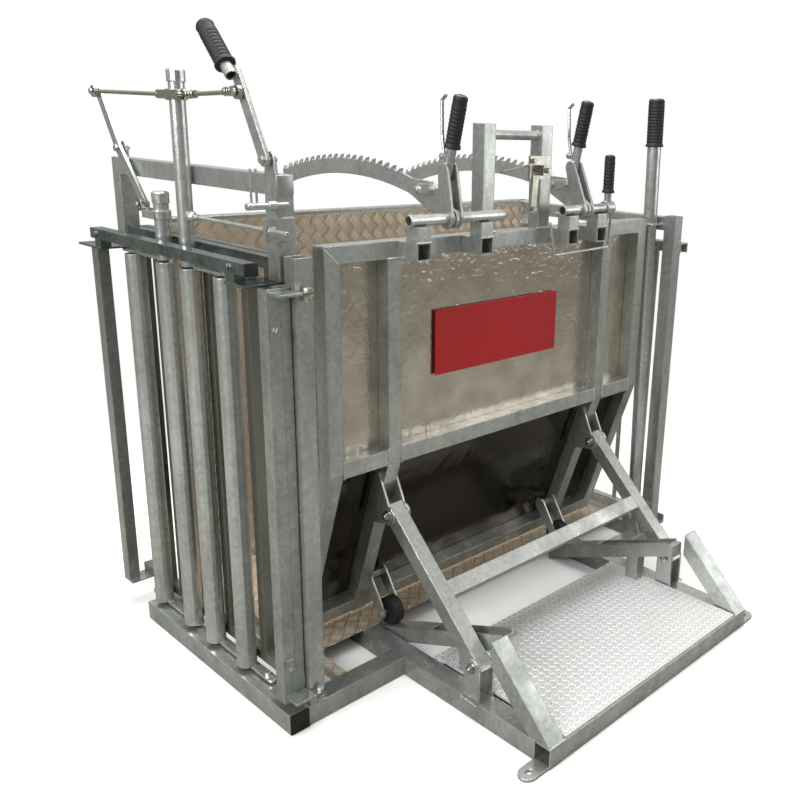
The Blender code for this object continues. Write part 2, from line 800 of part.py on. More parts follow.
def make_arms():
    """Two slanted arms and the tube between them."""
    dy, dz = arm_direction()
    start = (LUG_Y - dy * ARM_TAIL, LUG_Z - dz * ARM_TAIL)
    end = (CLEVIS_Y + dy * ARM_TAIL, CLEVIS_Z + dz * ARM_TAIL)
    reach = ARM_TUBE
    for side, x in zip(("left", "right"), ARM_X):
        bm = bmesh.new()
        add_tube(bm, [(x, *start), (x, *end)], ARM_TUBE)
        made = finish("arm_" + side, bm, "arm_axis", "galvanised")
        for label, pivot in (("low", (LUG_Y, LUG_Z)), ("high", (CLEVIS_Y, CLEVIS_Z))):
            path = [(x - reach, *pivot), (x + reach, *pivot)]
            bore(made, "arm_bore_" + label + "_" + side, path, PIVOT_RADIUS + BORE_CLEARANCE)
    bm = bmesh.new()
    y = LUG_Y + dy * CROSS_ALONG
    z = LUG_Z + dz * CROSS_ALONG
    half = ARM_TUBE / 2 + GAP
    path = [(ARM_X[0] + half, y, z), (ARM_X[1] - half, y, z)]
    add_tube(bm, path, CROSS_TUBE, CROSS_TUBE, FRAME_WALL, (0, dy, dz))
    finish("arm_cross_tube", bm, "arm_axis", "galvanised")


# Squeeze panel


def lean_y(z, offset=0.0):
    """Y of the leaning part at a height, moved across it by an offset."""
    return PANEL_MID_Y + (PANEL_KINK_Z - z) * math.tan(PANEL_LEAN) + offset / math.cos(PANEL_LEAN)


def make_panel_posts():
    """Four bent posts with their middle rails, clevises and roller hangers."""
    corner = TOP_RAIL_Z
    foot = (lean_y(PANEL_FOOT_Z), PANEL_FOOT_Z)
    for i, x in enumerate(PANEL_X):
        bm = bmesh.new()
        top = corner - FRAME_TUBE / 2 - GAP
        cut = None
        if i in (0, 3):
            top = corner - 2 * GAP
            cut = (1 if i == 0 else -1, 0, 1)
        path = [(x, *foot), (x, PANEL_MID_Y, PANEL_KINK_Z), (x, PANEL_MID_Y, top)]
        add_tube(bm, path, FRAME_TUBE, FRAME_TUBE, FRAME_WALL, X_AXIS, ((0, 0, 1), cut))
        if i in (0, 1):
            add_rail_segments(bm, PANEL_X[i], PANEL_X[i + 1])
        if i == 3:
            add_rail_segments(bm, PANEL_X[3], PANEL_X[2])
        if i in (1, 2):
            add_clevis(bm, x)
            add_hanger(bm, ("left", "right")[i - 1], x, 1 if i == 1 else -1)
        finish("panel_post_%d" % (i + 1), bm, "panel_axis", "galvanised")


def add_rail_segments(bm, root, end):
    """Middle and bottom rail tubes from the post at the root to the next one."""
    sign = 1 if end > root else -1
    start = root + sign * (FRAME_TUBE / 2 - WELD)
    stop = end - sign * (FRAME_TUBE / 2 + GAP)
    z = PANEL_KINK_Z + MID_RAIL_RISE
    path = [(start, PANEL_MID_Y, z), (stop, PANEL_MID_Y, z)]
    add_tube(bm, path, FRAME_TUBE, FRAME_TUBE, FRAME_WALL, Y_AXIS)
    z = PANEL_FOOT_Z + FRAME_TUBE / 2 / math.cos(PANEL_LEAN) + 0.008
    across = (0, math.cos(PANEL_LEAN), math.sin(PANEL_LEAN))
    path = [(start, lean_y(z), z), (stop, lean_y(z), z)]
    add_tube(bm, path, FRAME_TUBE, FRAME_TUBE, FRAME_WALL, across)


def make_panel_top_rail():
    """Top rail, mitred onto the outer posts."""
    bm = bmesh.new()
    path = [(PANEL_X[0], PANEL_MID_Y, TOP_RAIL_Z), (PANEL_X[3], PANEL_MID_Y, TOP_RAIL_Z)]
    add_tube(bm, path, FRAME_TUBE, FRAME_TUBE, FRAME_WALL, Y_AXIS, ((1, 0, 1), (1, 0, -1)))
    finish("panel_top_rail", bm, "panel_axis", "galvanised")


def make_panel_sheets():
    """Upper bright sheet and lower dark sheet on the frame's inner side."""
    left = PANEL_X[0] - FRAME_TUBE / 2 + 0.002
    right = PANEL_X[3] + FRAME_TUBE / 2 - 0.002
    bend = PANEL_KINK_Z + (FRAME_TUBE / 2 + GAP) * math.tan(PANEL_LEAN / 2)
    bm = bmesh.new()
    low = (left, PANEL_BACK_Y, bend + 0.001)
    add_block(bm, low, (right, PANEL_BACK_Y + PANEL_SHEET, PANEL_TOP_Z - 0.004))
    finish("panel_sheet_upper", bm, "panel_axis", "panel_aluminium")
    bm = bmesh.new()
    inner = FRAME_TUBE / 2 + GAP
    outer = inner + PANEL_SHEET
    foot = PANEL_FOOT_Z + 0.004
    outline = [
        (lean_y(foot, inner), foot),
        (lean_y(foot, outer), foot),
        (lean_y(bend, outer), bend),
        (lean_y(bend, inner), bend),
    ]
    add_plate(bm, outline, [], "X", left, right - left)
    finish("panel_sheet_lower", bm, "panel_axis", "dark_panel")


def make_horns():
    """Two upright posts on the top rail with a bar between them."""
    bm = bmesh.new()
    middle = MID_X + HORN_OFFSET
    base = PANEL_TOP_Z + GAP
    top = PANEL_TOP_Z + HORN_HEIGHT
    for x in (middle - HORN_SPREAD / 2, middle + HORN_SPREAD / 2):
        add_tube(bm, [(x, PANEL_MID_Y, base), (x, PANEL_MID_Y, top)], FRAME_TUBE)
    half = HORN_SPREAD / 2 - FRAME_TUBE / 2 + WELD
    z = top - HORN_BAR_DROP
    path = [(middle - half, PANEL_MID_Y, z), (middle + half, PANEL_MID_Y, z)]
    add_rod(bm, path, HORN_BAR_RADIUS, None, ROUND)
    finish("horn_frame", bm, "panel_axis", "galvanised")


def make_latch():
    """Bracket, block, strap and thin rod beside the right horn post."""
    bm = bmesh.new()
    x = MID_X + HORN_OFFSET + HORN_SPREAD / 2 - FRAME_TUBE / 2
    face = PANEL_FACE_Y
    add_block(bm, (x - 0.050, face - 0.0065, 1.225), (x + 0.030, face - GAP, 1.285))
    add_block(bm, (x - 0.022, face - 0.0285, 1.236), (x + 0.010, face - 0.0065 + WELD, 1.262))
    add_stud(bm, (x - 0.006, face - 0.0285, 1.249), (0, -1, 0), 0.009, 0.008)
    add_stud(bm, (x - 0.038, face - 0.0065, 1.272), (0, -1, 0), 0.008, 0.007)
    add_plate(bm, strap((x - 0.036, 1.150), (x - 0.030, 1.232), 0.011, 0.011), [], "Y", face - 0.0110, 0.005)
    add_stud(bm, (x - 0.036, face - 0.0110, 1.150), (0, -1, 0), 0.008, 0.007)
    start = (x - 0.049, face - 0.0035, 1.262)
    add_rod(bm, [start, (x - 0.150, face - 0.0035, 1.246)], 0.003, Y_AXIS)
    finish("latch", bm, "panel_axis", "zinc_plate")


def make_red_plate():
    """Bare red plate on four short studs in front of the upper sheet."""
    bm = bmesh.new()
    back = PANEL_BACK_Y - GAP - PLATE_STUD
    half = (PLATE_WIDTH / 2, PLATE_HEIGHT / 2)
    low = (PLATE_CENTRE_X - half[0], back - PLATE_SHEET, PLATE_CENTRE_Z - half[1])
    add_block(bm, low, (PLATE_CENTRE_X + half[0], back, PLATE_CENTRE_Z + half[1]))
    inset = 0.016
    for sx in (-1, 1):
        for sz in (-1, 1):
            x = PLATE_CENTRE_X + sx * (half[0] - inset)
            z = PLATE_CENTRE_Z + sz * (half[1] - inset)
            stations = [(-WELD, disc(0.005)), (PLATE_STUD, disc(0.005))]
            add_turned(bm, (x, back, z), Y_AXIS, stations)
    finish("red_plate", bm, "panel_axis", "red_paint")


def add_clevis(bm, x):
    """Plates beside an inner post that take an arm's upper bolt."""
    pivot = (CLEVIS_Y, CLEVIS_Z)
    high = (lean_y(CLEVIS_Z + 0.105), CLEVIS_Z + 0.105)
    low = (lean_y(CLEVIS_Z - 0.040), CLEVIS_Z - 0.040)
    outline = arc(pivot, EAR_RADIUS, math.radians(100), math.radians(285), 9)
    outline += [low, high]
    inside = ARM_TUBE / 2 + EAR_CLEARANCE
    bore_hole = hole(pivot, PIVOT_RADIUS + BORE_CLEARANCE)
    add_plate(bm, outline, [bore_hole], "X", x - inside - EAR_SHEET, EAR_SHEET)
    add_plate(bm, outline, [bore_hole], "X", x + inside, EAR_SHEET)
    add_bolt(bm, (x - inside - EAR_SHEET, *pivot), X_AXIS, 2 * (inside + EAR_SHEET), PIVOT_RADIUS)
    z = CLEVIS_Z + 0.030
    y = lean_y(z) - 0.009
    add_side_pad(bm, x, 1, inside, (y, z), (0.005, 0.010))
    add_side_pad(bm, x, -1, inside, (y, z), (0.005, 0.010))


def add_side_pad(bm, x, sign, reach, spot, half):
    """Small weld between a post's side face and a plate that stands off it."""
    a = x + sign * (FRAME_TUBE / 2 - WELD)
    b = x + sign * (reach + WELD)
    low = (min(a, b), spot[0] - half[0], spot[1] - half[1])
    add_block(bm, low, (max(a, b), spot[0] + half[0], spot[1] + half[1]))


def roller_x(side):
    """Centre of a roller across the crate."""
    inset = BASE_TUBE + RAMP_SIDE + RAMP_BAR + ROLLER_SIDE_GAP + ROLLER_WIDTH / 2
    return STAND_LEFT + inset if side == "left" else STAND_LEFT + STAND_WIDTH - inset


def add_hanger(bm, side, post, sign):
    """Plates that hang a roller from an inner post."""
    hub = (ROLLER_Y, ROLLER_Z)
    high = ROLLER_Z + 0.085
    root = (lean_y(high), high)
    outline = strap(hub, root, 0.014, 0.020)
    near = post + sign * (FRAME_TUBE / 2 + 0.0006)
    far = roller_x(side) + sign * (ROLLER_WIDTH / 2 + 0.004)
    thick = 0.005
    bore_hole = hole(hub, PIVOT_RADIUS + BORE_CLEARANCE)
    for edge in (near, far):
        low = min(edge, edge + sign * thick)
        add_plate(bm, outline, [bore_hole], "X", low, thick)
    add_side_pad(bm, post, sign, FRAME_TUBE / 2 + 0.0006, root, (0.008, 0.008))
    a = near + sign * (thick - WELD)
    b = far + sign * WELD
    y = root[0] + 0.004
    add_block(bm, (min(a, b), y - 0.010, high - 0.008), (max(a, b), y + 0.010, high + 0.008))
    seat = min(near, far + sign * thick)
    grip = abs(far + sign * thick - near)
    add_bolt(bm, (seat, *hub), X_AXIS, grip, PIVOT_RADIUS)


def make_rollers():
    """Rollers under the panel's inner posts."""
    for side in ("left", "right"):
        bm = bmesh.new()
        x = roller_x(side)
        half = ROLLER_WIDTH / 2
        wheel = disc(ROLLER_RADIUS, 20)
        eye = disc(PIVOT_RADIUS + BORE_CLEARANCE, 20)
        path = [(x - half, ROLLER_Y, ROLLER_Z), (x + half, ROLLER_Y, ROLLER_Z)]
        add_run(bm, path, wheel, eye)
        finish("roller_" + side, bm, "roller_axis_" + side, "black_rubber")


def roller_line():
    """Start and slope of the line that the rollers' centres climb."""
    rest = (ROLLER_Y, ROLLER_Z)
    clevis = (CLEVIS_Y, CLEVIS_Z)
    moved = turned(clevis, (LUG_Y, LUG_Z), ARM_TRAVEL)
    offset = (rest[0] - clevis[0], rest[1] - clevis[1])
    net = ARM_TRAVEL * (1 + TILT_RATIO)
    end = turned((moved[0] + offset[0], moved[1] + offset[1]), moved, net)
    return math.atan2(end[1] - rest[1], rest[0] - end[0])


def ramp_z(y, drop=0.0):
    """Height of the ramps' top edge, or of a line parallel below it."""
    slope = roller_line()
    below = ROLLER_RADIUS + ROLLER_LIFT + drop
    return ROLLER_Z + (ROLLER_Y - y) * math.tan(slope) - below / math.cos(slope)


def make_ramps():
    """Sloping channels of two flat bars, each on a post."""
    slope = roller_line()
    for side in ("left", "right"):
        bm = bmesh.new()
        x = roller_x(side)
        half = ROLLER_WIDTH / 2 + ROLLER_SIDE_GAP
        outline = [
            (RAMP_OUTER_Y, ramp_z(RAMP_OUTER_Y)),
            (RAMP_OUTER_Y, ramp_z(RAMP_OUTER_Y, RAMP_DEPTH)),
            (RAMP_INNER_Y, ramp_z(RAMP_INNER_Y, RAMP_DEPTH)),
            (RAMP_INNER_Y, ramp_z(RAMP_INNER_Y)),
        ]
        add_plate(bm, outline, [], "X", x - half - RAMP_BAR, RAMP_BAR)
        add_plate(bm, outline, [], "X", x + half, RAMP_BAR)
        strip_y = RAMP_INNER_Y - STRIP_LENGTH
        strip = [
            (strip_y, ramp_z(strip_y)),
            (strip_y, ramp_z(strip_y, STRIP_SHEET)),
            (RAMP_INNER_Y, ramp_z(RAMP_INNER_Y, STRIP_SHEET)),
            (RAMP_INNER_Y, ramp_z(RAMP_INNER_Y)),
        ]
        add_plate(bm, strip, [], "X", x - half - WELD, 2 * (half + WELD))
        for y in (0.053, -0.076):
            z = ramp_z(y, RAMP_DEPTH / 2)
            add_rod(bm, [(x - half - WELD, y, z), (x + half + WELD, y, z)], 0.008)
        low = (x - half - RAMP_BAR, RAMP_OUTER_Y - 0.018, ramp_z(RAMP_OUTER_Y, RAMP_DEPTH))
        add_block(bm, low, (x + half + RAMP_BAR, RAMP_OUTER_Y + WELD, ramp_z(RAMP_OUTER_Y, 0.006)))
        deck = DECK_Z + TREAD_SHEET + GAP
        path = [(x, RAMP_POST_Y, deck), (x, RAMP_POST_Y, ramp_z(RAMP_POST_Y, RAMP_DEPTH * 0.6))]
        cut = (0, math.sin(slope), math.cos(slope))
        width = 2 * (half + WELD)
        add_tube(bm, path, width, RAMP_POST_DEPTH, FRAME_WALL, X_AXIS, (None, cut))
        finish("ramp_" + side, bm, "handler_root", "galvanised")


# Shafts and levers


def make_shafts():
    """Shaft pipes on L-shaped brackets in front of the top rail."""
    half = FRAME_TUBE / 2
    for i, span in enumerate((SHAFT_1_X, SHAFT_2_X)):
        bm = bmesh.new()
        add_pipe(bm, [(span[0], SHAFT_Y, SHAFT_Z), (span[1], SHAFT_Y, SHAFT_Z)], SHAFT_RADIUS, SHAFT_WALL)
        for left in BRACKET_X[2 * i:2 * i + 2]:
            x = left + half
            front = PANEL_FACE_Y - BRACKET_REACH
            path = [(x, PANEL_FACE_Y - GAP, TOP_RAIL_Z), (x, front, TOP_RAIL_Z)]
            add_tube(bm, path, FRAME_TUBE)
            top = SHAFT_Z - SHAFT_RADIUS + 0.001
            path = [(x, front + half, PANEL_TOP_Z - WELD), (x, front + half, top)]
            add_tube(bm, path, FRAME_TUBE)
        if i == 1:
            add_drop_rod(bm)
        finish("shaft_%d" % (i + 1), bm, "panel_axis", "galvanised")


def add_drop_rod(bm):
    """Bent rod that hangs under the second shaft."""
    left = MID_X + HORN_OFFSET + HORN_SPREAD / 2 - FRAME_TUBE / 2
    right = SHAFT_2_X[1] - 0.0035
    path = [(left - 0.012, SHAFT_Y, 1.118), (left + 0.010, SHAFT_Y, 1.030)]
    path += [(right - 0.006, SHAFT_Y, 1.036), (right, SHAFT_Y, SHAFT_Z - SHAFT_RADIUS + 0.001)]
    add_rod(bm, path, 0.0035, Y_AXIS)


def arc_point(y, rise=0.0):
    """A point over the toothed arm's crown line."""
    turn = math.asin((y - ARC_CROWN_Y) / ARC_RADIUS)
    centre_z = ARC_CROWN_Z - ARC_RADIUS
    reach = ARC_RADIUS + rise
    return (ARC_CROWN_Y + reach * math.sin(turn), centre_z + reach * math.cos(turn))


def make_arcs():
    """Toothed arms that reach over the crate from the levers."""
    hub = (SHAFT_Y, SHAFT_Z)
    for i, x in enumerate(LEVER_X):
        bm = bmesh.new()
        reach = ARC_REACH[i]
        teeth = int((reach - ARC_ROOT_Y - 0.045) / TOOTH_PITCH)
        outline = []
        for k in range(teeth):
            y = reach - 0.004 - k * TOOTH_PITCH
            outline.append(arc_point(y))
            outline.append(arc_point(y - 0.35 * TOOTH_PITCH, TOOTH_HEIGHT * 0.75))
            outline.append(arc_point(y - 0.62 * TOOTH_PITCH, TOOTH_HEIGHT))
            outline.append(arc_point(y - 0.55 * TOOTH_PITCH, 0.002))
        outline.append(arc_point(ARC_ROOT_Y + 0.030))
        outline.append((hub[0] + 0.060, hub[1] + 0.079))
        outline += arc(hub, EYE_RADIUS, math.radians(120), math.radians(300), 8)
        outline.append(arc_point(ARC_ROOT_Y, -ARC_DEPTH * 1.15))
        steps = 14
        for k in range(steps + 1):
            y = ARC_ROOT_Y + 0.03 + (reach - ARC_ROOT_Y - 0.048) * k / steps
            outline.append(arc_point(y, -ARC_DEPTH))
        outline.append(arc_point(reach - 0.004, -ARC_DEPTH * 0.75))
        eye = hole(hub, SHAFT_RADIUS + BORE_CLEARANCE)
        add_plate(bm, outline, [eye], "X", x - ARC_SHEET / 2, ARC_SHEET)
        low = (hub[0] + 0.062, hub[1] + 0.062)
        high = (ARC_ROOT_Y + 0.004, arc_point(ARC_ROOT_Y)[1] - 0.016)
        side = x - ARC_SHEET / 2 + WELD - 0.005
        add_plate(bm, strap(low, high, 0.012, 0.012), [], "X", side, 0.005)
        add_stud(bm, (side, *high), (-1, 0, 0), 0.008, 0.008)
        add_stud(bm, (side, *low), (-1, 0, 0), 0.008, 0.008)
        finish("toothed_arm_%d" % (i + 1), bm, "lever_axis_%d" % (i + 1), "galvanised")


def lever_direction(i):
    """Unit Y-Z direction of a lever's tube."""
    dy = LEVER_TOP[i][0] - LEVER_KNEE[i][0]
    dz = LEVER_TOP[i][1] - LEVER_KNEE[i][1]
    span = math.hypot(dy, dz)
    return dy / span, dz / span


def trigger_pivot(i):
    """Where a trigger turns, on the far side of its lever."""
    dy, dz = lever_direction(i)
    off = LEVER_TUBE_RADIUS + 0.010
    y = LEVER_KNEE[i][0] + dy * TRIGGER_RISE + dz * off
    z = LEVER_KNEE[i][1] + dz * TRIGGER_RISE - dy * off
    return y, z


def make_levers():
    """Handle levers with fork plates round the shafts, and their grips."""
    hub = (SHAFT_Y, SHAFT_Z)
    eye = hole(hub, SHAFT_RADIUS + BORE_CLEARANCE)
    for i, x in enumerate(LEVER_X):
        label = "_%d" % (i + 1)
        axis = "lever_axis" + label
        dy, dz = lever_direction(i)
        knee = LEVER_KNEE[i]
        top = LEVER_TOP[i]
        inside = LEVER_TUBE_RADIUS - WELD
        bm = bmesh.new()
        outline = strap(hub, knee, EYE_RADIUS, 0.016)
        for low in (x - inside - FORK_SHEET, x + inside):
            add_plate(bm, outline, [eye], "X", low, FORK_SHEET)
        for sign in (-1, 1):
            path = [(x + sign * (ARC_SHEET / 2 + GAP), *hub), (x + sign * (inside + WELD), *hub)]
            bore_size = SHAFT_RADIUS + BORE_CLEARANCE + 0.0002
            add_run(bm, path, disc(SHAFT_RADIUS + 0.007), disc(bore_size))
        tail = (knee[0] - dy * 0.024, knee[1] - dz * 0.024)
        add_pipe(bm, [(x, *tail), (x, *top)], LEVER_TUBE_RADIUS, LEVER_WALL)
        pivot = trigger_pivot(i)
        ear_y = (pivot[0] - dz * 0.011, pivot[1] + dy * 0.011)
        for edge in (x - 0.009, x + 0.006):
            ear = strap(pivot, ear_y, 0.007, 0.006)
            add_plate(bm, ear, [], "X", edge, 0.003)
        pin = disc(0.003)
        add_turned(bm, (x - 0.0115, *pivot), X_AXIS, [(0.0, pin), (0.023, pin)])
        finish("lever" + label, bm, axis, "galvanised")
        bm = bmesh.new()
        start = (top[0] - dy * GRIP_LENGTH, top[1] - dz * GRIP_LENGTH)
        add_run(bm, [(x, *start), (x, *top)], disc(GRIP_RADIUS), disc(LEVER_TUBE_RADIUS + GAP))
        finish("grip" + label, bm, axis, "black_rubber")


def make_triggers():
    """Bent rods behind the grips that the hand squeezes."""
    for i, x in enumerate(LEVER_X):
        dy, dz = lever_direction(i)
        pivot = trigger_pivot(i)
        bm = bmesh.new()
        path = [(x - 0.0055, *pivot), (x + 0.0055, *pivot)]
        add_run(bm, path, disc(0.0085), disc(0.0035))
        points = []
        for along, out in ((0.0070, 0.0), (0.045, 0.016), (TRIGGER_LENGTH, 0.036)):
            y = pivot[0] + dy * along + dz * out
            z = pivot[1] + dz * along - dy * out
            points.append((x, y, z))
        tip = points[-1]
        points.append((x, tip[1] - 0.014, tip[2] + 0.012))
        add_rod(bm, points, TRIGGER_RADIUS, X_AXIS)
        finish("trigger_%d" % (i + 1), bm, "trigger_axis_%d" % (i + 1), "zinc_plate")


def make_short_lever():
    """The short lever on the second shaft's end, and its grip."""
    bm = bmesh.new()
    half = SHORT_COLLAR / 2
    x = SHORT_LEVER_X
    path = [(x - half, SHAFT_Y, SHAFT_Z), (x + half, SHAFT_Y, SHAFT_Z)]
    collar = SHAFT_RADIUS + 0.006
    add_run(bm, path, disc(collar), disc(SHAFT_RADIUS + BORE_CLEARANCE))
    top = SHAFT_Z + SHORT_LEVER_RISE
    add_pipe(bm, [(x, SHAFT_Y, SHAFT_Z + SHAFT_RADIUS + 0.002), (x, SHAFT_Y, top)], 0.010, 0.0025)
    finish("lever_3", bm, "lever_axis_3", "galvanised")
    bm = bmesh.new()
    path = [(x, SHAFT_Y, top - SHORT_GRIP_LENGTH), (x, SHAFT_Y, top)]
    add_run(bm, path, disc(0.0150), disc(0.010 + GAP))
    finish("grip_3", bm, "lever_axis_3", "black_rubber")


# Front gate and yoke


def make_gate_frame():
    """Stiles, the back tube, tie plates, the bottom rail and hinge lugs."""
    bm = bmesh.new()
    x = STILE_DEPTH / 2
    near = GATE_NEAR_Y + STILE_WIDTH / 2
    far = GATE_NEAR_Y + GATE_WIDTH - STILE_WIDTH / 2
    for y in (near, far):
        path = [(x, y, GATE_BOTTOM_Z), (x, y, GATE_TOP_Z)]
        add_tube(bm, path, STILE_DEPTH, STILE_WIDTH, GATE_WALL)
    b = BACK_TUBE
    back_x = STILE_DEPTH - WELD + b / 2
    back_y = GATE_NEAR_Y + 0.002 + b / 2
    add_tube(bm, [(back_x, back_y, GATE_BOTTOM_Z), (back_x, back_y, GATE_TOP_Z)], b, b, GATE_WALL)
    rail_x = PICKET_X + PICKET_RADIUS + 0.001
    near_y = ARCH_NEAR_Y - FRAME_TUBE / 2 + 0.0005
    far_y = GATE_NEAR_Y + GATE_WIDTH
    path = [(rail_x + b / 2, near_y, GATE_BOTTOM_Z + b / 2), (rail_x + b / 2, far_y, GATE_BOTTOM_Z + b / 2)]
    add_tube(bm, path, b, b, GATE_WALL)
    bar_base = GATE_BOTTOM_Z + b - WELD
    for y in GATE_BARS_Y:
        add_tube(bm, [(rail_x + b / 2, y, bar_base), (rail_x + b / 2, y, RAIL_Z - GAP)], b, b, GATE_WALL)
    low = GATE_BOTTOM_Z + WELD - TIE_SHEET
    add_block(bm, (0.0, near_y, low), (rail_x + b, near_y + 0.040, low + TIE_SHEET))
    add_block(bm, (0.0, far_y - 0.050, low), (rail_x + b, far_y, low + TIE_SHEET))
    spot = (HINGE_X, -HINGE_DROP)
    edge = GATE_NEAR_Y + WELD
    post = FRONT_POST_X - 0.0015
    for z in HINGE_Z:
        outline = arc(spot, HINGE_EYE, math.radians(-90), math.radians(90), 8)
        outline += [(post, spot[1] + HINGE_EYE), (post, edge), (0.004, edge), (0.004, spot[1] - HINGE_EYE)]
        eye = hole(spot, HINGE_PIN + BORE_CLEARANCE)
        add_plate(bm, outline, [eye], "Z", z, HINGE_SHEET)
    for z in (0.163, 0.945):
        low_corner = (0.006, GATE_NEAR_Y - GAP - 0.004, z - 0.022)
        add_block(bm, low_corner, (0.026, GATE_NEAR_Y + WELD, z + 0.022))
        add_stud(bm, (0.016, GATE_NEAR_Y - GAP - 0.004, z), (0, -1, 0), 0.012, 0.009)
    finish("gate_frame", bm, "gate_axis", "galvanised")


def make_gate_rails():
    """Three top rails on tie plates; the pipes pass between the first two."""
    bm = bmesh.new()
    z = RAIL_Z + RAIL_HEIGHT / 2
    b = BACK_TUBE
    start = ARCH_NEAR_Y - FRAME_TUBE / 2 + 0.0005
    left = -GAP - RAIL_WIDTH
    first = left + RAIL_WIDTH / 2
    add_tube(bm, [(first, start, z), (first, RAIL_END_Y, z)], RAIL_WIDTH, RAIL_HEIGHT, GATE_WALL)
    second = PICKET_X + PICKET_RADIUS + 0.001 + b / 2
    third = second + b + 0.006
    near = ARCH_NEAR_Y + FRAME_TUBE / 2 + GAP
    far = ARCH_FAR_Y - FRAME_TUBE / 2 - GAP
    for x in (second, third):
        add_tube(bm, [(x, near, z), (x, far, z)], b, RAIL_HEIGHT, GATE_WALL)
    low = TIE_Z + TIE_SHEET - WELD
    high = RAIL_Z + WELD
    far_y = GATE_NEAR_Y + GATE_WIDTH
    plates = ((start, near + 0.038, near + 0.010), (far - 0.036, far_y, far - 0.028))
    for y0, y1, block in plates:
        add_block(bm, (left, y0, TIE_Z), (third + b / 2, y1, TIE_Z + TIE_SHEET))
        add_block(bm, (second - b / 2, block, low), (third + b / 2, block + 0.022, high))
        add_block(bm, (left + 0.002, block - 0.010, low), (-0.003, block + 0.024, high))
        add_stud(bm, (left, block + 0.007, z), (-1, 0, 0), 0.006, 0.008)
    add_block(bm, (left, start - END_CAP, RAIL_Z), (-GAP, start + WELD, RAIL_Z + RAIL_HEIGHT))
    finish("gate_rails", bm, "gate_axis", "galvanised")


def make_arch():
    """Posts and header over the gate, with the pivots of the yoke's levers."""
    bm = bmesh.new()
    half = FRAME_TUBE / 2
    base = TIE_Z + TIE_SHEET + GAP
    under = ARCH_TOP_Z - FRAME_TUBE + WELD
    z = ARCH_TOP_Z - half
    add_tube(bm, [(ARCH_X, ARCH_NEAR_Y - half, z), (ARCH_X, ARCH_FAR_Y + half, z)], FRAME_TUBE)
    for y in (ARCH_NEAR_Y, ARCH_FAR_Y):
        add_tube(bm, [(ARCH_X, y, base), (ARCH_X, y, under)], FRAME_TUBE)
    face = ARCH_X - half
    foot = ARCH_TOP_Z - WELD
    for pivot in (YOKE_PIVOT, ROCKER_PIVOT):
        outline = arc(pivot, 0.016, 0.0, math.pi, 8)
        outline += [(pivot[0] - 0.020, foot), (pivot[0] + 0.020, foot)]
        add_plate(bm, outline, [hole(pivot, 0.0055)], "X", face, 0.006)
        grip = face + 0.006 - YOKE_BAR_X
        add_bolt(bm, (YOKE_BAR_X, *pivot), X_AXIS, grip, 0.005, True)
    add_stop_pin(bm)
    add_rod_guide(bm)
    finish("arch", bm, "gate_axis", "galvanised")


def add_stop_pin(bm):
    """Cross pin on the near post, with a collar and two upright wires."""
    y = ARCH_NEAR_Y - FRAME_TUBE / 2 - 0.0065
    add_turned(bm, (-0.020, y, 1.190), X_AXIS, [(0.0, disc(0.007)), (0.092, disc(0.007))])
    add_turned(bm, (0.026, y, 1.190), X_AXIS, [(0.0, disc(0.010)), (0.018, disc(0.010))])
    for x in (-0.009, 0.003):
        add_rod(bm, [(x, y, 1.193), (x, y, 1.262)], 0.0025, X_AXIS)


def add_rod_guide(bm):
    """Plate on the near post that the limit rod passes."""
    face = ARCH_NEAR_Y - FRAME_TUBE / 2 + WELD
    low = (0.018, LIMIT_ROD_Z - 0.023)
    high = (ARCH_X + 0.018, LIMIT_ROD_Z + 0.024)
    outline = [low, (high[0], low[1]), high, (low[0], high[1])]
    eye = hole((NECK_PIPE_X, LIMIT_ROD_Z), LINK_RADIUS + 0.0015)
    add_plate(bm, outline, [eye], "Y", face - GUIDE_SHEET, GUIDE_SHEET)


def add_leaf(bm, pickets, plates):
    """Plates at foot and head, an outer picket and the lower part of an inner one."""
    foot = LEAF_BOTTOM_Z + LEAF_PLATE - WELD
    head = GATE_TOP_Z - LEAF_CLEARANCE - LEAF_PLATE
    low, high = sorted(plates)
    x0, x1 = LEAF_PLATE_X
    r = (x1 - x0) / 2
    for z in (LEAF_BOTTOM_Z, head):
        outline = arc(((x0 + x1) / 2, high - r), r, 0.0, math.pi, 8)
        outline += arc(((x0 + x1) / 2, low + r), r, math.pi, 2 * math.pi, 8)
        add_plate(bm, outline, [], "Z", z, LEAF_PLATE)
    for y in pickets:
        add_pipe(bm, [(PICKET_X, y, foot), (PICKET_X, y, head + WELD)], PICKET_RADIUS, PICKET_WALL, sides=16)
    for y in (low + 0.030, high - 0.030):
        add_stud(bm, ((x0 + x1) / 2, y, LEAF_BOTTOM_Z + LEAF_PLATE), Z_AXIS, 0.007, 0.008)


def make_leaves():
    """The yoke's two sliding leaves."""
    bm = bmesh.new()
    add_leaf(bm, NEAR_PICKETS_Y, NEAR_PLATE_Y)
    add_neck_pipe(bm, NEAR_PICKETS_Y[1], TALL_PIPE_TOP)
    add_limit_rod(bm)
    finish("leaf_near", bm, "near_leaf_axis", "galvanised")
    bm = bmesh.new()
    add_leaf(bm, FAR_PICKETS_Y, FAR_PLATE_Y)
    add_neck_pipe(bm, FAR_PICKETS_Y[1], SHORT_PIPE_TOP)
    add_short_clamp(bm)
    finish("leaf_far", bm, "far_leaf_axis", "galvanised")


def add_neck_pipe(bm, y, top):
    """The narrow pipe that stands on a leaf and passes up between the rails."""
    base = GATE_TOP_Z - LEAF_CLEARANCE - WELD
    x = NECK_PIPE_X
    pipe_top = top - PIPE_CAP_HEIGHT
    add_pipe(bm, [(x, y, base), (x, y, pipe_top)], NECK_PIPE_RADIUS, 0.003, sides=16)
    cap = NECK_PIPE_RADIUS + 0.0025
    rings = [(-WELD, disc(cap)), (PIPE_CAP_HEIGHT - 0.003, disc(cap))]
    rings += [(PIPE_CAP_HEIGHT, disc(cap - 0.004))]
    add_turned(bm, (x, y, pipe_top), Z_AXIS, rings)


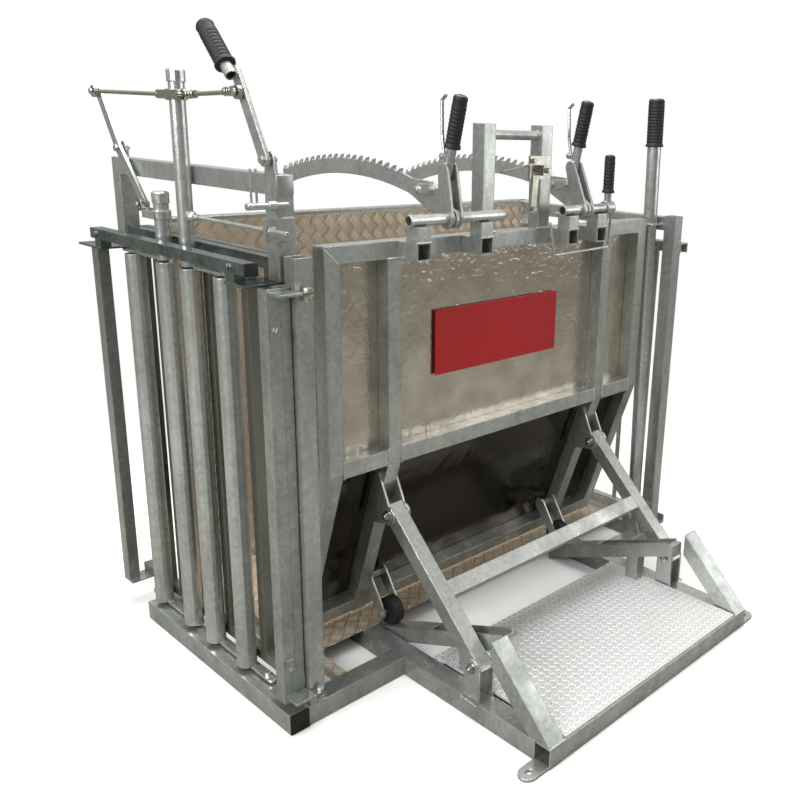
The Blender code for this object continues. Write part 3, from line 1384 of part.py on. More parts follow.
def add_rod_end(bm, centre, radius, eye, thick):
    """The ring of a rod end, round a pin along X."""
    half = thick / 2
    path = [(centre[0] - half, centre[1], centre[2]), (centre[0] + half, centre[1], centre[2])]
    add_run(bm, path, disc(radius), disc(eye))


def top_joints():
    """The upper joints on the lever, the tall pipe and the rocker."""
    lever = (YOKE_PIVOT[0] + YOKE_JOINT[0], YOKE_PIVOT[1] + YOKE_JOINT[1])
    rocker = (ROCKER_PIVOT[0] + ROCKER_TOP[0], ROCKER_PIVOT[1] + ROCKER_TOP[1])
    z = (lever[1] + rocker[1]) / 2 - 0.006
    near = (NEAR_PICKETS_Y[1] - CLAMP_REACH, z)
    far = (NEAR_PICKETS_Y[1] + CLAMP_REACH, z)
    return lever, near, far, rocker


def low_joints():
    """The lower joints on the rocker and the short pipe."""
    rocker = (ROCKER_PIVOT[0] + ROCKER_FOOT[0], ROCKER_PIVOT[1] + ROCKER_FOOT[1])
    leaf = (rocker[0] - LOW_LINK_SPAN[0], rocker[1] - LOW_LINK_SPAN[1])
    return rocker, leaf


def add_link(bm, start, end, loose_eye):
    """A rod with an eye at each end, in the plane of the links."""
    dy = end[0] - start[0]
    dz = end[1] - start[1]
    span = math.hypot(dy, dz)
    uy = dy / span
    uz = dz / span
    add_rod_end(bm, (LINK_X, *start), LINK_EYE, 0.0050, 0.009)
    add_rod_end(bm, (LINK_X, *end), loose_eye + 0.0055, loose_eye, 0.009)
    a = LINK_EYE - 0.001
    b = span - loose_eye - 0.0045
    path = [(LINK_X, start[0] + uy * a, start[1] + uz * a), (LINK_X, start[0] + uy * b, start[1] + uz * b)]
    add_rod(bm, path, LINK_RADIUS, X_AXIS, 10)
    for along in (a + 0.004, b - 0.016):
        seat = (LINK_X, start[0] + uy * along, start[1] + uz * along)
        end_spot = (LINK_X, seat[1] + uy * 0.010, seat[2] + uz * 0.010)
        add_run(bm, [seat, end_spot], hexagon(LINK_NUT), None, X_AXIS)


def make_links():
    """Rods between the lever, the tall pipe, the rocker and the short pipe."""
    lever, near, far, rocker = top_joints()
    foot, leaf = low_joints()
    for name, start, end, eye in (
        ("top_link_near", near, lever, 0.0085),
        ("top_link_far", far, rocker, 0.0085),
        ("low_link", leaf, foot, 0.0098),
    ):
        bm = bmesh.new()
        add_link(bm, start, end, eye)
        finish(name, bm, name + "_axis", "zinc_plate")


def add_clamp(bm, pipe_y, joints, inner):
    """A ring on a neck pipe with a side flat that carries the links' pins."""
    outer = NECK_PIPE_RADIUS + GAP + CLAMP_SHEET
    z = joints[0][1]
    x = NECK_PIPE_X
    path = [(x, pipe_y, z - CLAMP_HEIGHT / 2), (x, pipe_y, z + CLAMP_HEIGHT / 2)]
    add_run(bm, path, disc(outer, 16), disc(inner, 16))
    face = x - outer + 0.001
    flat = face - CLAMP_SHEET
    for joint in joints:
        reach = LINK_X - face + 0.001
        stations = [(-0.011, hexagon(0.008)), (-0.0055, hexagon(0.008)), (-0.0055, disc(0.0042))]
        stations += [(reach, disc(0.0042))]
        add_turned(bm, (LINK_X, *joint), (-1, 0, 0), stations)
    ends = sorted([pipe_y] + [joint[0] for joint in joints])
    low = (flat, ends[0] - 0.009, z - CLAMP_HEIGHT / 2 + 0.001)
    add_block(bm, low, (face, ends[-1] + 0.009, z + CLAMP_HEIGHT / 2 - 0.001))


def make_tall_clamp():
    """Clamp between the top links and the tall pipe."""
    lever, near, far, rocker = top_joints()
    bm = bmesh.new()
    add_clamp(bm, NEAR_PICKETS_Y[1], [near, far], NECK_PIPE_RADIUS + GAP)
    finish("clamp_tall", bm, "near_leaf_axis", "zinc_plate")


def add_short_clamp(bm):
    """Clamp between the low link and the short pipe."""
    foot, leaf = low_joints()
    add_clamp(bm, FAR_PICKETS_Y[1], [leaf], NECK_PIPE_RADIUS - 0.001)


def add_limit_rod(bm):
    """Threaded rod from the tall pipe through the plate on the arch, with its nut."""
    start = NEAR_PICKETS_Y[1] - NECK_PIPE_RADIUS + 0.0015
    nut = start - (ARCH_NEAR_Y - FRAME_TUBE / 2 + WELD - GUIDE_SHEET - 0.0015)
    rod = disc(LINK_RADIUS)
    stations = [(0.0, disc(0.006)), (0.006, disc(0.011)), (0.012, disc(0.0125)), (0.018, disc(0.011))]
    stations += [(0.024, disc(0.007)), (0.040, disc(0.007)), (0.040, rod), (nut, rod)]
    stations += [(nut, hexagon(0.010)), (nut + 0.009, hexagon(0.010)), (nut + 0.009, rod)]
    stations += [(start - LIMIT_ROD_END, rod)]
    add_turned(bm, (NECK_PIPE_X, start, LIMIT_ROD_Z), (0, -1, 0), stations)


def add_link_pin(bm, joint):
    """A link's pin through a flat bar, with its head and nut."""
    reach = YOKE_BAR_X + YOKE_BAR - LINK_X - WELD
    head = hexagon(0.008)
    shank = disc(0.0042)
    stations = [(-0.011, head), (-0.0065, head), (-0.0065, shank), (reach, shank)]
    stations += [(reach, head), (reach + 0.005, head)]
    add_turned(bm, (LINK_X, *joint), X_AXIS, stations)


def make_yoke_lever():
    """The yoke's hand lever, bent at its grip."""
    bm = bmesh.new()
    pivot = YOKE_PIVOT
    joint = (pivot[0] + YOKE_JOINT[0], pivot[1] + YOKE_JOINT[1])
    knee = (pivot[0] + YOKE_KNEE[0], pivot[1] + YOKE_KNEE[1])
    half = YOKE_BAR_WIDTH / 2
    outline = strap(pivot, knee, half, half * 0.9)
    add_plate(bm, outline, [hole(pivot, 0.0055)], "X", YOKE_BAR_X, YOKE_BAR)
    add_link_pin(bm, joint)
    end = (pivot[0] + YOKE_GRIP_END[0], pivot[1] + YOKE_GRIP_END[1])
    span = math.hypot(end[0] - knee[0], end[1] - knee[1])
    uy = (end[0] - knee[0]) / span
    uz = (end[1] - knee[1]) / span
    x = YOKE_BAR_X + 0.001 - YOKE_TUBE_RADIUS
    tail = (knee[0] - uy * 0.012, knee[1] - uz * 0.012)
    add_pipe(bm, [(x, *tail), (x, *end)], YOKE_TUBE_RADIUS, 0.0025)
    finish("yoke_lever", bm, "yoke_lever_axis", "galvanised")
    bm = bmesh.new()
    start = (knee[0] + uy * 0.016, knee[1] + uz * 0.016)
    add_run(bm, [(x, *start), (x, *end)], disc(YOKE_GRIP_RADIUS), disc(YOKE_TUBE_RADIUS + GAP))
    finish("yoke_grip", bm, "yoke_lever_axis", "black_rubber")


def make_rocker():
    """The bar that turns the far leaf's motion round."""
    bm = bmesh.new()
    pivot = ROCKER_PIVOT
    top = (pivot[0] + ROCKER_TOP[0], pivot[1] + ROCKER_TOP[1])
    foot = (pivot[0] + ROCKER_FOOT[0], pivot[1] + ROCKER_FOOT[1])
    half = YOKE_BAR_WIDTH / 2 - 0.002
    lean = math.atan2(*ROCKER_TOP[::-1])
    heads = arc(top, half, lean - math.pi / 2, lean + math.pi / 2, 6)
    turn = math.atan2(*ROCKER_FOOT[::-1])
    feet = arc(foot, half, turn - math.pi / 2, turn + math.pi / 2, 6)
    side = lean + math.pi / 2
    left = (pivot[0] + half * math.cos(side), pivot[1] + half * math.sin(side))
    right = (pivot[0] - half * math.cos(side), pivot[1] - half * math.sin(side))
    outline = heads + [left] + feet + [right]
    add_plate(bm, outline, [hole(pivot, 0.0055)], "X", YOKE_BAR_X, YOKE_BAR)
    for joint in (top, foot):
        add_link_pin(bm, joint)
    finish("rocker", bm, "rocker_axis", "galvanised")


# Rear leaf and long lever


def make_rear_leaf():
    """Sliding leaf of upright bars between two flat rails, with its slotted pull."""
    bm = bmesh.new()
    width, height = LEAF_RAIL
    low = TRACK_BOTTOM_Z + TRACK_SHEET + TRACK_CLEARANCE
    top = TRACK_TOP_Z - TRACK_SHEET - TRACK_CLEARANCE
    end = LEAF_START_Y + LEAF_WIDTH
    x0 = LEAF_X - width / 2
    x1 = LEAF_X + width / 2
    add_block(bm, (x0, LEAF_START_Y, low), (x1, end, low + height))
    add_block(bm, (x0, LEAF_START_Y, top - height), (x1, end, top))
    first = LEAF_START_Y + 0.016
    pitch = (LEAF_WIDTH - 0.032) / (LEAF_BARS - 1)
    for i in range(LEAF_BARS):
        y = first + pitch * i
        path = [(LEAF_X, y, low + height - WELD), (LEAF_X, y, top - height + WELD)]
        add_rod(bm, path, LEAF_BAR_RADIUS, X_AXIS, 10)
    add_rear_pull(bm)
    finish("rear_leaf", bm, "rear_leaf_axis", "galvanised")


def pull_pin():
    """Where the long lever's pin works in the slotted pull."""
    lean = (REAR_LEVER_TOP[0] - REAR_LEVER_Y) / (REAR_LEVER_TOP[1] - REAR_LEVER_Z)
    return (REAR_LEVER_Y + PULL_PIN_RISE * lean, REAR_LEVER_Z + PULL_PIN_RISE)


def add_rear_pull(bm):
    """Slotted plate that the lever's pin pushes, on a block that meets the leaf."""
    pin = pull_pin()
    half = PULL_SLOT[0]
    top = pin[1] + PULL_PIN_RADIUS + 0.004
    low = top - PULL_SLOT[1]
    slot = [(pin[0] - half, low), (pin[0] + half, low), (pin[0] + half, top), (pin[0] - half, top)]
    edge = 0.010
    bar_y = LEAF_START_Y + 0.016 + (LEAF_WIDTH - 0.032) / (LEAF_BARS - 1)
    far = bar_y + 0.012
    leg = top - 0.045
    outline = [
        (pin[0] - half - edge, low - edge),
        (pin[0] + half + edge, low - edge),
        (pin[0] + half + edge, leg),
        (far, leg),
        (far, top + edge),
        (pin[0] - half - edge, top + edge),
    ]
    x = REAR_LEVER_X + REAR_LEVER_RADIUS + 0.0045
    thick = 0.005
    add_plate(bm, outline, [slot], "X", x, thick)
    z = TRACK_TOP_Z - TRACK_DEPTH - 0.014
    add_run(bm, [(x + thick - WELD, bar_y, z), (LEAF_X, bar_y, z)], rectangle(0.014, 0.012))


def make_rear_lever():
    """The long lever, its pin and its grip."""
    bm = bmesh.new()
    x = REAR_LEVER_X
    foot = (REAR_LEVER_Y, REAR_LEVER_Z)
    top = REAR_LEVER_TOP
    span = math.hypot(top[0] - foot[0], top[1] - foot[1])
    uy = (top[0] - foot[0]) / span
    uz = (top[1] - foot[1]) / span
    start = (foot[0] - uy * 0.022, foot[1] - uz * 0.022)
    add_pipe(bm, [(x, *start), (x, *top)], REAR_LEVER_RADIUS, REAR_LEVER_WALL, sides=16)
    pin = pull_pin()
    disc_pin = disc(PULL_PIN_RADIUS)
    side = REAR_LEVER_RADIUS - 0.002
    add_turned(bm, (x + side, *pin), X_AXIS, [(0.0, disc_pin), (0.0163, disc_pin)])
    made = finish("rear_lever", bm, "rear_lever_axis", "galvanised")
    reach = REAR_LEVER_RADIUS * 2
    cut = [(x - reach, *foot), (x + reach, *foot)]
    bore(made, "rear_lever_bore", cut, PIVOT_RADIUS + BORE_CLEARANCE)
    bm = bmesh.new()
    low = (top[0] - uy * REAR_GRIP_LENGTH, top[1] - uz * REAR_GRIP_LENGTH)
    high = (top[0] + uy * 0.001, top[1] + uz * 0.001)
    outer = disc(REAR_LEVER_RADIUS + REAR_GRIP_WALL, 16)
    add_run(bm, [(x, *low), (x, *high)], outer, disc(REAR_LEVER_RADIUS + GAP, 16))
    finish("rear_grip", bm, "rear_lever_axis", "black_rubber")


def make_axes():
    """Empties on the joints' axes."""
    add_empty("handler_root", None, (0.0, 0.0, 0.0))
    bpy.data.objects["handler_root"].location = (-BASE_TUBE / 2, -BASE_TUBE / 2, 0.0)
    add_empty("arm_axis", "handler_root", (MID_X, LUG_Y, LUG_Z))
    add_empty("panel_axis", "arm_axis", (MID_X, CLEVIS_Y, CLEVIS_Z))
    for side in ("left", "right"):
        add_empty("roller_axis_" + side, "panel_axis", (roller_x(side), ROLLER_Y, ROLLER_Z))
    for i, x in enumerate(LEVER_X):
        label = "_%d" % (i + 1)
        add_empty("lever_axis" + label, "panel_axis", (x, SHAFT_Y, SHAFT_Z))
        add_empty("trigger_axis" + label, "lever_axis" + label, (x, *trigger_pivot(i)))
    add_empty("lever_axis_3", "panel_axis", (SHORT_LEVER_X, SHAFT_Y, SHAFT_Z))
    add_empty("gate_axis", "handler_root", (HINGE_X, -HINGE_DROP, 0.0))
    add_empty("near_leaf_axis", "gate_axis", (PICKET_X, NEAR_PICKETS_Y[1], LEAF_BOTTOM_Z))
    add_empty("far_leaf_axis", "gate_axis", (PICKET_X, FAR_PICKETS_Y[1], LEAF_BOTTOM_Z))
    add_empty("yoke_lever_axis", "gate_axis", (YOKE_BAR_X, *YOKE_PIVOT))
    add_empty("rocker_axis", "gate_axis", (YOKE_BAR_X, *ROCKER_PIVOT))
    lever, near, far, rocker = top_joints()
    foot, leaf = low_joints()
    add_empty("top_link_near_axis", "near_leaf_axis", (LINK_X, *near))
    add_empty("top_link_far_axis", "near_leaf_axis", (LINK_X, *far))
    add_empty("low_link_axis", "far_leaf_axis", (LINK_X, *leaf))
    add_empty("rear_leaf_axis", "handler_root", (LEAF_X, LEAF_START_Y, TRACK_BOTTOM_Z))
    add_empty("rear_lever_axis", "handler_root", (REAR_LEVER_X, REAR_LEVER_Y, REAR_LEVER_Z))


def main():
    """Build the whole handler."""
    for old in list(bpy.data.objects):
        bpy.data.objects.remove(old, do_unlink=True)
    make_axes()
    make_base_frame()
    make_platform_frame()
    make_platform_tread()
    make_braces()
    make_sill_cap()
    make_floor()
    make_far_side()
    make_front_post()
    make_rear_frame()
    make_lugs()
    make_arms()
    make_panel_posts()
    make_panel_top_rail()
    make_panel_sheets()
    make_horns()
    make_latch()
    make_red_plate()
    make_rollers()
    make_ramps()
    make_shafts()
    make_arcs()
    make_levers()
    make_triggers()
    make_short_lever()
    make_gate_frame()
    make_gate_rails()
    make_arch()
    make_leaves()
    make_links()
    make_tall_clamp()
    make_yoke_lever()
    make_rocker()
    make_rear_leaf()
    make_rear_lever()


main()
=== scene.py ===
# %% [markdown]
# # A sheep handler in galvanised steel
# The real machine is welded from square tube and dipped in zinc. The imported solids already have its
# shapes, so this lesson is mostly about finishes: zinc, rolled tread sheet, rubber and paint. We load
# the solids first.

# %% Load the frame
import math

import bmesh
import bpy
from mathutils import Matrix, Vector


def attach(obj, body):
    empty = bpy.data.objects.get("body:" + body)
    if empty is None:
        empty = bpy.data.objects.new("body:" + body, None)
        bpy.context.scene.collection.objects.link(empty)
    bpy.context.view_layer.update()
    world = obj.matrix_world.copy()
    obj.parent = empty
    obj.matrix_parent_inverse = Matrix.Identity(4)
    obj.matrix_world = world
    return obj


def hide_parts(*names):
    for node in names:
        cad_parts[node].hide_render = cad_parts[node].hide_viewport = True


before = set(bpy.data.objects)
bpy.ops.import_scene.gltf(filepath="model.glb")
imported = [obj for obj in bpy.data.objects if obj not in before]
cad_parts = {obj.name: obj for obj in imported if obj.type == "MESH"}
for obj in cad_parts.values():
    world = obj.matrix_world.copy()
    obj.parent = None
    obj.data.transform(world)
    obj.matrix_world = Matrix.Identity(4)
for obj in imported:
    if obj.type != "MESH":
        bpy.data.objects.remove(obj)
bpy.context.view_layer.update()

# %% [markdown]
# ## Colours and nodes
# A colour picked from a screen is written as sRGB, while the shader counts light, so one function
# turns the hex text into linear numbers. A second function adds a shader node, sets it up and plugs
# its inputs. Two more start a material and mix two colours, which keeps every recipe below short.


# %% Colour and node helpers
def linear(code):
    """Linear RGBA from an sRGB hex text."""
    channels = [int(code[i:i + 2], 16) / 255 for i in (0, 2, 4)]
    turned = [c / 12.92 if c <= 0.04045 else ((c + 0.055) / 1.055) ** 2.4 for c in channels]
    return (*turned, 1.0)


def add(tree, kind, plugs=None, **settings):
    """Add a node with its settings; plugs maps an input to a number, a colour or a socket."""
    made = tree.nodes.new(kind)
    for key, value in settings.items():
        setattr(made, key, value)
    for key, value in (plugs or {}).items():
        socket = made.inputs[key]
        if isinstance(value, bpy.types.NodeSocket):
            tree.links.new(value, socket)
        else:
            socket.default_value = value
    return made


def between(tree, factor, first, second):
    """The colour part way from the first to the second."""
    return add(tree, "ShaderNodeMix", {0: factor, 6: first, 7: second}, data_type="RGBA").outputs[2]


def sum_of(tree, operation, *values):
    """One Math node's result."""
    return add(tree, "ShaderNodeMath", dict(enumerate(values)), operation=operation).outputs[0]


def start_finish(name, **sockets):
    """A Principled material, its tree, its shader and the object's own coordinates."""
    made = bpy.data.materials.new(name)
    made.use_nodes = True
    tree = made.node_tree
    shader = tree.nodes["Principled BSDF"]
    for key, value in sockets.items():
        shader.inputs[key.replace("_", " ")].default_value = value
    place = add(tree, "ShaderNodeTexCoord").outputs["Object"]
    return made, tree, shader, place


print("zinc grey is", [round(c, 3) for c in linear("a9adab")[:3]])

# %% [markdown]
# ## Hot-dip galvanised steel
# Steel dipped in molten zinc freezes into crystals, the spangle, 5 to 15 mm across, each a slightly
# different grey. Runs of zinc leave long cloudy streaks. A Voronoi texture gives the crystals, a
# noise gives the clouds, and a fine noise gives the grain that breaks up the reflection. The gate's
# back row of bars gets a darker grey: painted shade for bars that stand in shadow behind the front.


# %% Galvanised finish
SPANGLE_SCALE = 95.0  # crystals about 10 mm across
CLOUD_SCALE = 14.0  # clouds about 70 mm across, drawn out along Z
GRAIN_SCALE = 420.0  # grain of 2 to 3 mm
TUBE_EDGE = 0.0035  # rounding of a tube's corner, seen only in its shading


def galvanised(name, light, dark, rough, painted_shade=None):
    """Zinc in two greys; an optional (axis, edge, colour) paints that colour on as shade past the plane.
    """
    made, tree, shader, place = start_finish(name, Metallic=0.82)
    cells = add(tree, "ShaderNodeTexVoronoi", {"Vector": place, "Scale": SPANGLE_SCALE}, feature="F1")
    grey = add(tree, "ShaderNodeSeparateColor", {"Color": cells.outputs["Color"]})
    stretch = add(tree, "ShaderNodeMapping", {"Vector": place, "Scale": (1.0, 1.0, 0.35)})
    clouds = add(tree, "ShaderNodeTexNoise", {
        "Vector": stretch.outputs["Vector"], "Scale": CLOUD_SCALE, "Detail": 5.0, "Roughness": 0.62})
    crystals = sum_of(tree, "MULTIPLY", grey.outputs["Red"], 0.20)
    mixed = sum_of(tree, "MULTIPLY_ADD", clouds.outputs["Fac"], 1.15, crystals)
    ramp = add(tree, "ShaderNodeMapRange", {"Value": mixed, "From Min": 0.40, "From Max": 0.92})
    result = between(tree, ramp.outputs[0], linear(dark), linear(light))
    # painted shade: past the plane the zinc takes the darker colour, standing in for shadow
    if painted_shade:
        axis, edge, shade = painted_shade
        parts = add(tree, "ShaderNodeSeparateXYZ", {"Vector": place})
        past = sum_of(tree, "GREATER_THAN", parts.outputs[axis], edge)
        result = between(tree, past, result, linear(shade))
    tree.links.new(result, shader.inputs["Base Color"])
    gloss = add(tree, "ShaderNodeMapRange", {
        "Value": clouds.outputs["Fac"], "From Min": 0.3, "From Max": 0.7,
        "To Min": rough + 0.10, "To Max": rough - 0.08})
    tree.links.new(gloss.outputs[0], shader.inputs["Roughness"])
    grain = add(tree, "ShaderNodeTexNoise", {"Vector": place, "Scale": GRAIN_SCALE, "Detail": 3.0})
    soft_edge = add(tree, "ShaderNodeBevel", {"Radius": TUBE_EDGE}, samples=4)
    bump = add(tree, "ShaderNodeBump", {
        "Strength": 0.22, "Distance": 0.0006, "Height": grain.outputs["Fac"],
        "Normal": soft_edge.outputs[0]})
    tree.links.new(bump.outputs[0], shader.inputs["Normal"])
    return made


zinc_tube = galvanised("hot_dip_zinc_tube", "cbcecb", "a0a4a1", 0.30)
zinc_bright = galvanised("hot_dip_zinc_bright", "d6d8d6", "a8aca9", 0.28)
BACK_BARS_X = 0.0315  # the gate's back row of bars lies past this plane; their darker grey 8b8b82 is painted shade
zinc_gate = galvanised("hot_dip_zinc_gate", "bcc0bb", "8c928e", 0.29, (0, BACK_BARS_X, "8b8b82"))
# a darker zinc for the gate's rails
zinc_dark = galvanised("darker_zinc", "7f8986", "49524f", 0.20)
print("zinc finishes", len([m for m in bpy.data.materials if "zinc" in m.name]))

# %% [markdown]
# ## Electro-plated hardware
# Bolts, clamps and link rods are plated, which is thinner and brighter than dipping and leaves a
# faint yellow-green cast. A small noise moves the tint about, as handling marks do.


# %% Plated finish
def plated(name, first, second, rough):
    """Bright plating with a faint cast."""
    made, tree, shader, place = start_finish(name, Metallic=1.0)
    patches = add(tree, "ShaderNodeTexNoise", {"Vector": place, "Scale": 60.0, "Detail": 3.0})
    colour = between(tree, patches.outputs["Fac"], linear(first), linear(second))
    tree.links.new(colour, shader.inputs["Base Color"])
    gloss = add(tree, "ShaderNodeMapRange", {
        "Value": patches.outputs["Fac"], "To Min": rough - 0.08, "To Max": rough + 0.12})
    tree.links.new(gloss.outputs[0], shader.inputs["Roughness"])
    soft_edge = add(tree, "ShaderNodeBevel", {"Radius": 0.0012}, samples=4)
    tree.links.new(soft_edge.outputs[0], shader.inputs["Normal"])
    return made


zinc_plate = plated("electro_plated_zinc", "cbc8be", "a19f93", 0.24)
weld_zinc = plated("zinc_over_weld", "dcdfdc", "b8bcb9", 0.38)
print("plated", zinc_plate.name, weld_zinc.name)

# %% [markdown]
# ## Rolled tread sheet
# Five-bar sheet is rolled with groups of short ribs; each group turns a quarter from its neighbours,
# and a group is about 31 mm square. We build that as maths on the object's own metres:
# turn the plane by 45 degrees, cut it into squares, swap the two directions on every other square
# and draw ribs in each. Y and Z are added first, so one sum serves a wall, a floor and a slope. Here
# a square gets four whole ribs and a half rib on two edges. The operator's step uses the same sum with
# one rib and a smaller square, so its dashes lie on the edges of the squares.


# %% Tread pattern
COSINE_45 = 0.70711


def tread_height(tree, place, pitch, bars):
    """Height of the rolled ribs, from 0 on the sheet to 1 on a rib."""
    parts = add(tree, "ShaderNodeSeparateXYZ", {"Vector": place})
    across = parts.outputs["X"]
    up = sum_of(tree, "ADD", parts.outputs["Y"], parts.outputs["Z"])
    scale = COSINE_45 / pitch
    u = sum_of(tree, "MULTIPLY", sum_of(tree, "ADD", across, up), scale)
    v = sum_of(tree, "MULTIPLY", sum_of(tree, "SUBTRACT", across, up), scale)
    cells = sum_of(tree, "ADD", sum_of(tree, "FLOOR", u), sum_of(tree, "FLOOR", v))
    odd = sum_of(tree, "FLOORED_MODULO", cells, 2.0)
    fu = sum_of(tree, "SUBTRACT", sum_of(tree, "FRACT", u), 0.5)
    fv = sum_of(tree, "SUBTRACT", sum_of(tree, "FRACT", v), 0.5)
    gap = sum_of(tree, "SUBTRACT", fv, fu)
    a = sum_of(tree, "MULTIPLY_ADD", odd, gap, fu)
    b = sum_of(tree, "SUBTRACT", sum_of(tree, "ADD", fu, fv), a)
    # an odd count leaves the middle line bare and puts half ribs on two edges of the square
    shift = 0.5 * (bars % 2) + 0.5
    step = sum_of(tree, "FRACT", sum_of(tree, "MULTIPLY_ADD", a, float(bars), shift))
    off = sum_of(tree, "ABSOLUTE", sum_of(tree, "SUBTRACT", step, 0.5))
    rib = add(tree, "ShaderNodeMapRange", {
        "Value": off, "From Min": 0.33, "From Max": 0.12}, interpolation_type="SMOOTHSTEP")
    end = add(tree, "ShaderNodeMapRange", {
        "Value": sum_of(tree, "ABSOLUTE", b), "From Min": 0.45, "From Max": 0.33},
        interpolation_type="SMOOTHSTEP")
    return sum_of(tree, "MULTIPLY", rib.outputs[0], end.outputs[0])


def tread_sheet(name, rib_colour, sheet_colour, pitch, bars, rough, depth):
    """Rolled sheet: ribs in a lighter colour than the ground between them."""
    made, tree, shader, place = start_finish(name, Metallic=0.42)
    height = tread_height(tree, place, pitch, bars)
    stains = add(tree, "ShaderNodeTexNoise", {"Vector": place, "Scale": 9.0, "Detail": 6.0})
    dirt = sum_of(tree, "MULTIPLY", stains.outputs["Fac"], 0.30)
    mixed = sum_of(tree, "MULTIPLY_ADD", height, 0.80, dirt)
    colour = between(tree, mixed, linear(sheet_colour), linear(rib_colour))
    tree.links.new(colour, shader.inputs["Base Color"])
    gloss = add(tree, "ShaderNodeMapRange", {
        "Value": mixed, "To Min": rough + 0.14, "To Max": rough - 0.06})
    tree.links.new(gloss.outputs[0], shader.inputs["Roughness"])
    bump = add(tree, "ShaderNodeBump", {"Strength": 0.9, "Distance": depth, "Height": height})
    tree.links.new(bump.outputs[0], shader.inputs["Normal"])
    return made


FIVE_BAR_PITCH = 0.031
DASH_PITCH = 0.0145
tread_aluminium = tread_sheet("five_bar_aluminium", "fff3df", "8f7a60", FIVE_BAR_PITCH, 5, 0.32, 0.0026)
chequer = tread_sheet("chequered_steel_step", "ffffff", "c6c8c7", DASH_PITCH, 1, 0.46, 0.0012)
print("tread sheets", tread_aluminium.name, chequer.name)

# %% [markdown]
# ## Smooth sheets, paint and rubber
# The squeeze panel's upper sheet is thin and bright, and ripples where it was pressed, so its
# reflections wobble. Its colour drifts in wide clouds from pale to brown, a painted reflection of
# the tread sheet and the light. The lower one is dark and close to a mirror. The paint is a satin
# red with a little orange peel, and the rubber is dull with a fine pebble.


# %% Smooth finishes
def plain_sheet(name, first, second, metal, rough, scale, depth):
    """A surface of two close colours, with waves of a real size."""
    made, tree, shader, place = start_finish(name, Metallic=metal)
    waves = add(tree, "ShaderNodeTexNoise", {
        "Vector": place, "Scale": scale, "Detail": 2.5, "Distortion": 0.9})
    # on the bright upper sheet these clouds between its two colours are a painted reflection; on paint
    # and rubber they are random tone
    clouds = add(tree, "ShaderNodeTexNoise", {"Vector": place, "Scale": scale * 0.3, "Detail": 4.0})
    colour = between(tree, clouds.outputs["Fac"], linear(first), linear(second))
    tree.links.new(colour, shader.inputs["Base Color"])
    gloss = add(tree, "ShaderNodeMapRange", {
        "Value": clouds.outputs["Fac"], "To Min": rough - 0.05, "To Max": rough + 0.07})
    tree.links.new(gloss.outputs[0], shader.inputs["Roughness"])
    bump = add(tree, "ShaderNodeBump", {
        "Strength": 0.8, "Distance": depth, "Height": waves.outputs["Fac"]})
    tree.links.new(bump.outputs[0], shader.inputs["Normal"])
    return made


# painted reflection: the upper sheet's pale and brown drift in wide clouds, standing in for the tread
# sheet and the light it reflects
bright_sheet = plain_sheet("rippled_bright_sheet", "f0e7d9", "a1978a", 0.95, 0.19, 42.0, 0.0018)
dark_sheet = plain_sheet("dark_mirror_sheet", "5a5148", "2b2723", 0.95, 0.13, 7.0, 0.0040)
red_paint = plain_sheet("satin_red_paint", "c4121a", "ad0e15", 0.0, 0.42, 220.0, 0.0003)
rubber = plain_sheet("moulded_black_rubber", "1f1f20", "141415", 0.0, 0.60, 380.0, 0.0005)
cap_plastic = plain_sheet("moulded_black_cap", "1a1a1b", "101011", 0.0, 0.45, 260.0, 0.0003)
print("materials so far", len(bpy.data.materials))

# %% [markdown]
# ## Dress the solids
# Each CAD node keeps its mesh and only gets a better finish, by a table from node to material. A
# node that isn't named in the table is plain dipped tube, as most of the machine is.

# %% Assign finishes
dress = {
    "far_panel": tread_aluminium, "floor": tread_aluminium, "platform_tread": chequer,
    "panel_sheet_upper": bright_sheet, "panel_sheet_lower": dark_sheet, "red_plate": red_paint,
    "gate_frame": zinc_gate, "gate_rails": zinc_dark, "sill_cap": cap_plastic,
    "roller_left": rubber, "roller_right": rubber, "latch": zinc_plate, "clamp_tall": zinc_plate,
    "top_link_near": zinc_plate, "top_link_far": zinc_plate, "low_link": zinc_plate,
    "trigger_1": zinc_plate, "trigger_2": zinc_plate, "toothed_arm_1": zinc_bright,
    "toothed_arm_2": zinc_bright, "leaf_near": zinc_bright, "leaf_far": zinc_bright,
    "grip_1": rubber, "grip_2": rubber, "grip_3": rubber, "yoke_grip": rubber, "rear_grip": rubber,
    "rear_lever": zinc_bright, "shaft_1": zinc_bright, "shaft_2": zinc_bright,
    "platform_frame": zinc_bright, "arm_cross_tube": zinc_bright,
}
for name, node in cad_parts.items():
    node.data.materials.clear()
    node.data.materials.append(dress.get(name, zinc_tube))
print("dressed", len(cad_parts), "nodes")

# %% [markdown]
# ## Rubber grips
# Each handle has a moulded sleeve with a collar, rounded ribs and a domed end. It is a turned shape,
# so we draw half of its outline once and spin that round the handle's axis. The sleeve stands for the
# plain one in the solids.


# %% Grip builder
def settle(name, bm, body, finish):
    """Make the object, smooth it and hang it on its body."""
    mesh = bpy.data.meshes.new(name)
    bm.to_mesh(mesh)
    bm.free()
    mesh.shade_smooth()
    mesh.set_sharp_from_angle(angle=math.radians(40))
    mesh.materials.append(finish)
    made = bpy.data.objects.new(name, mesh)
    bpy.context.scene.collection.objects.link(made)
    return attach(made, body)


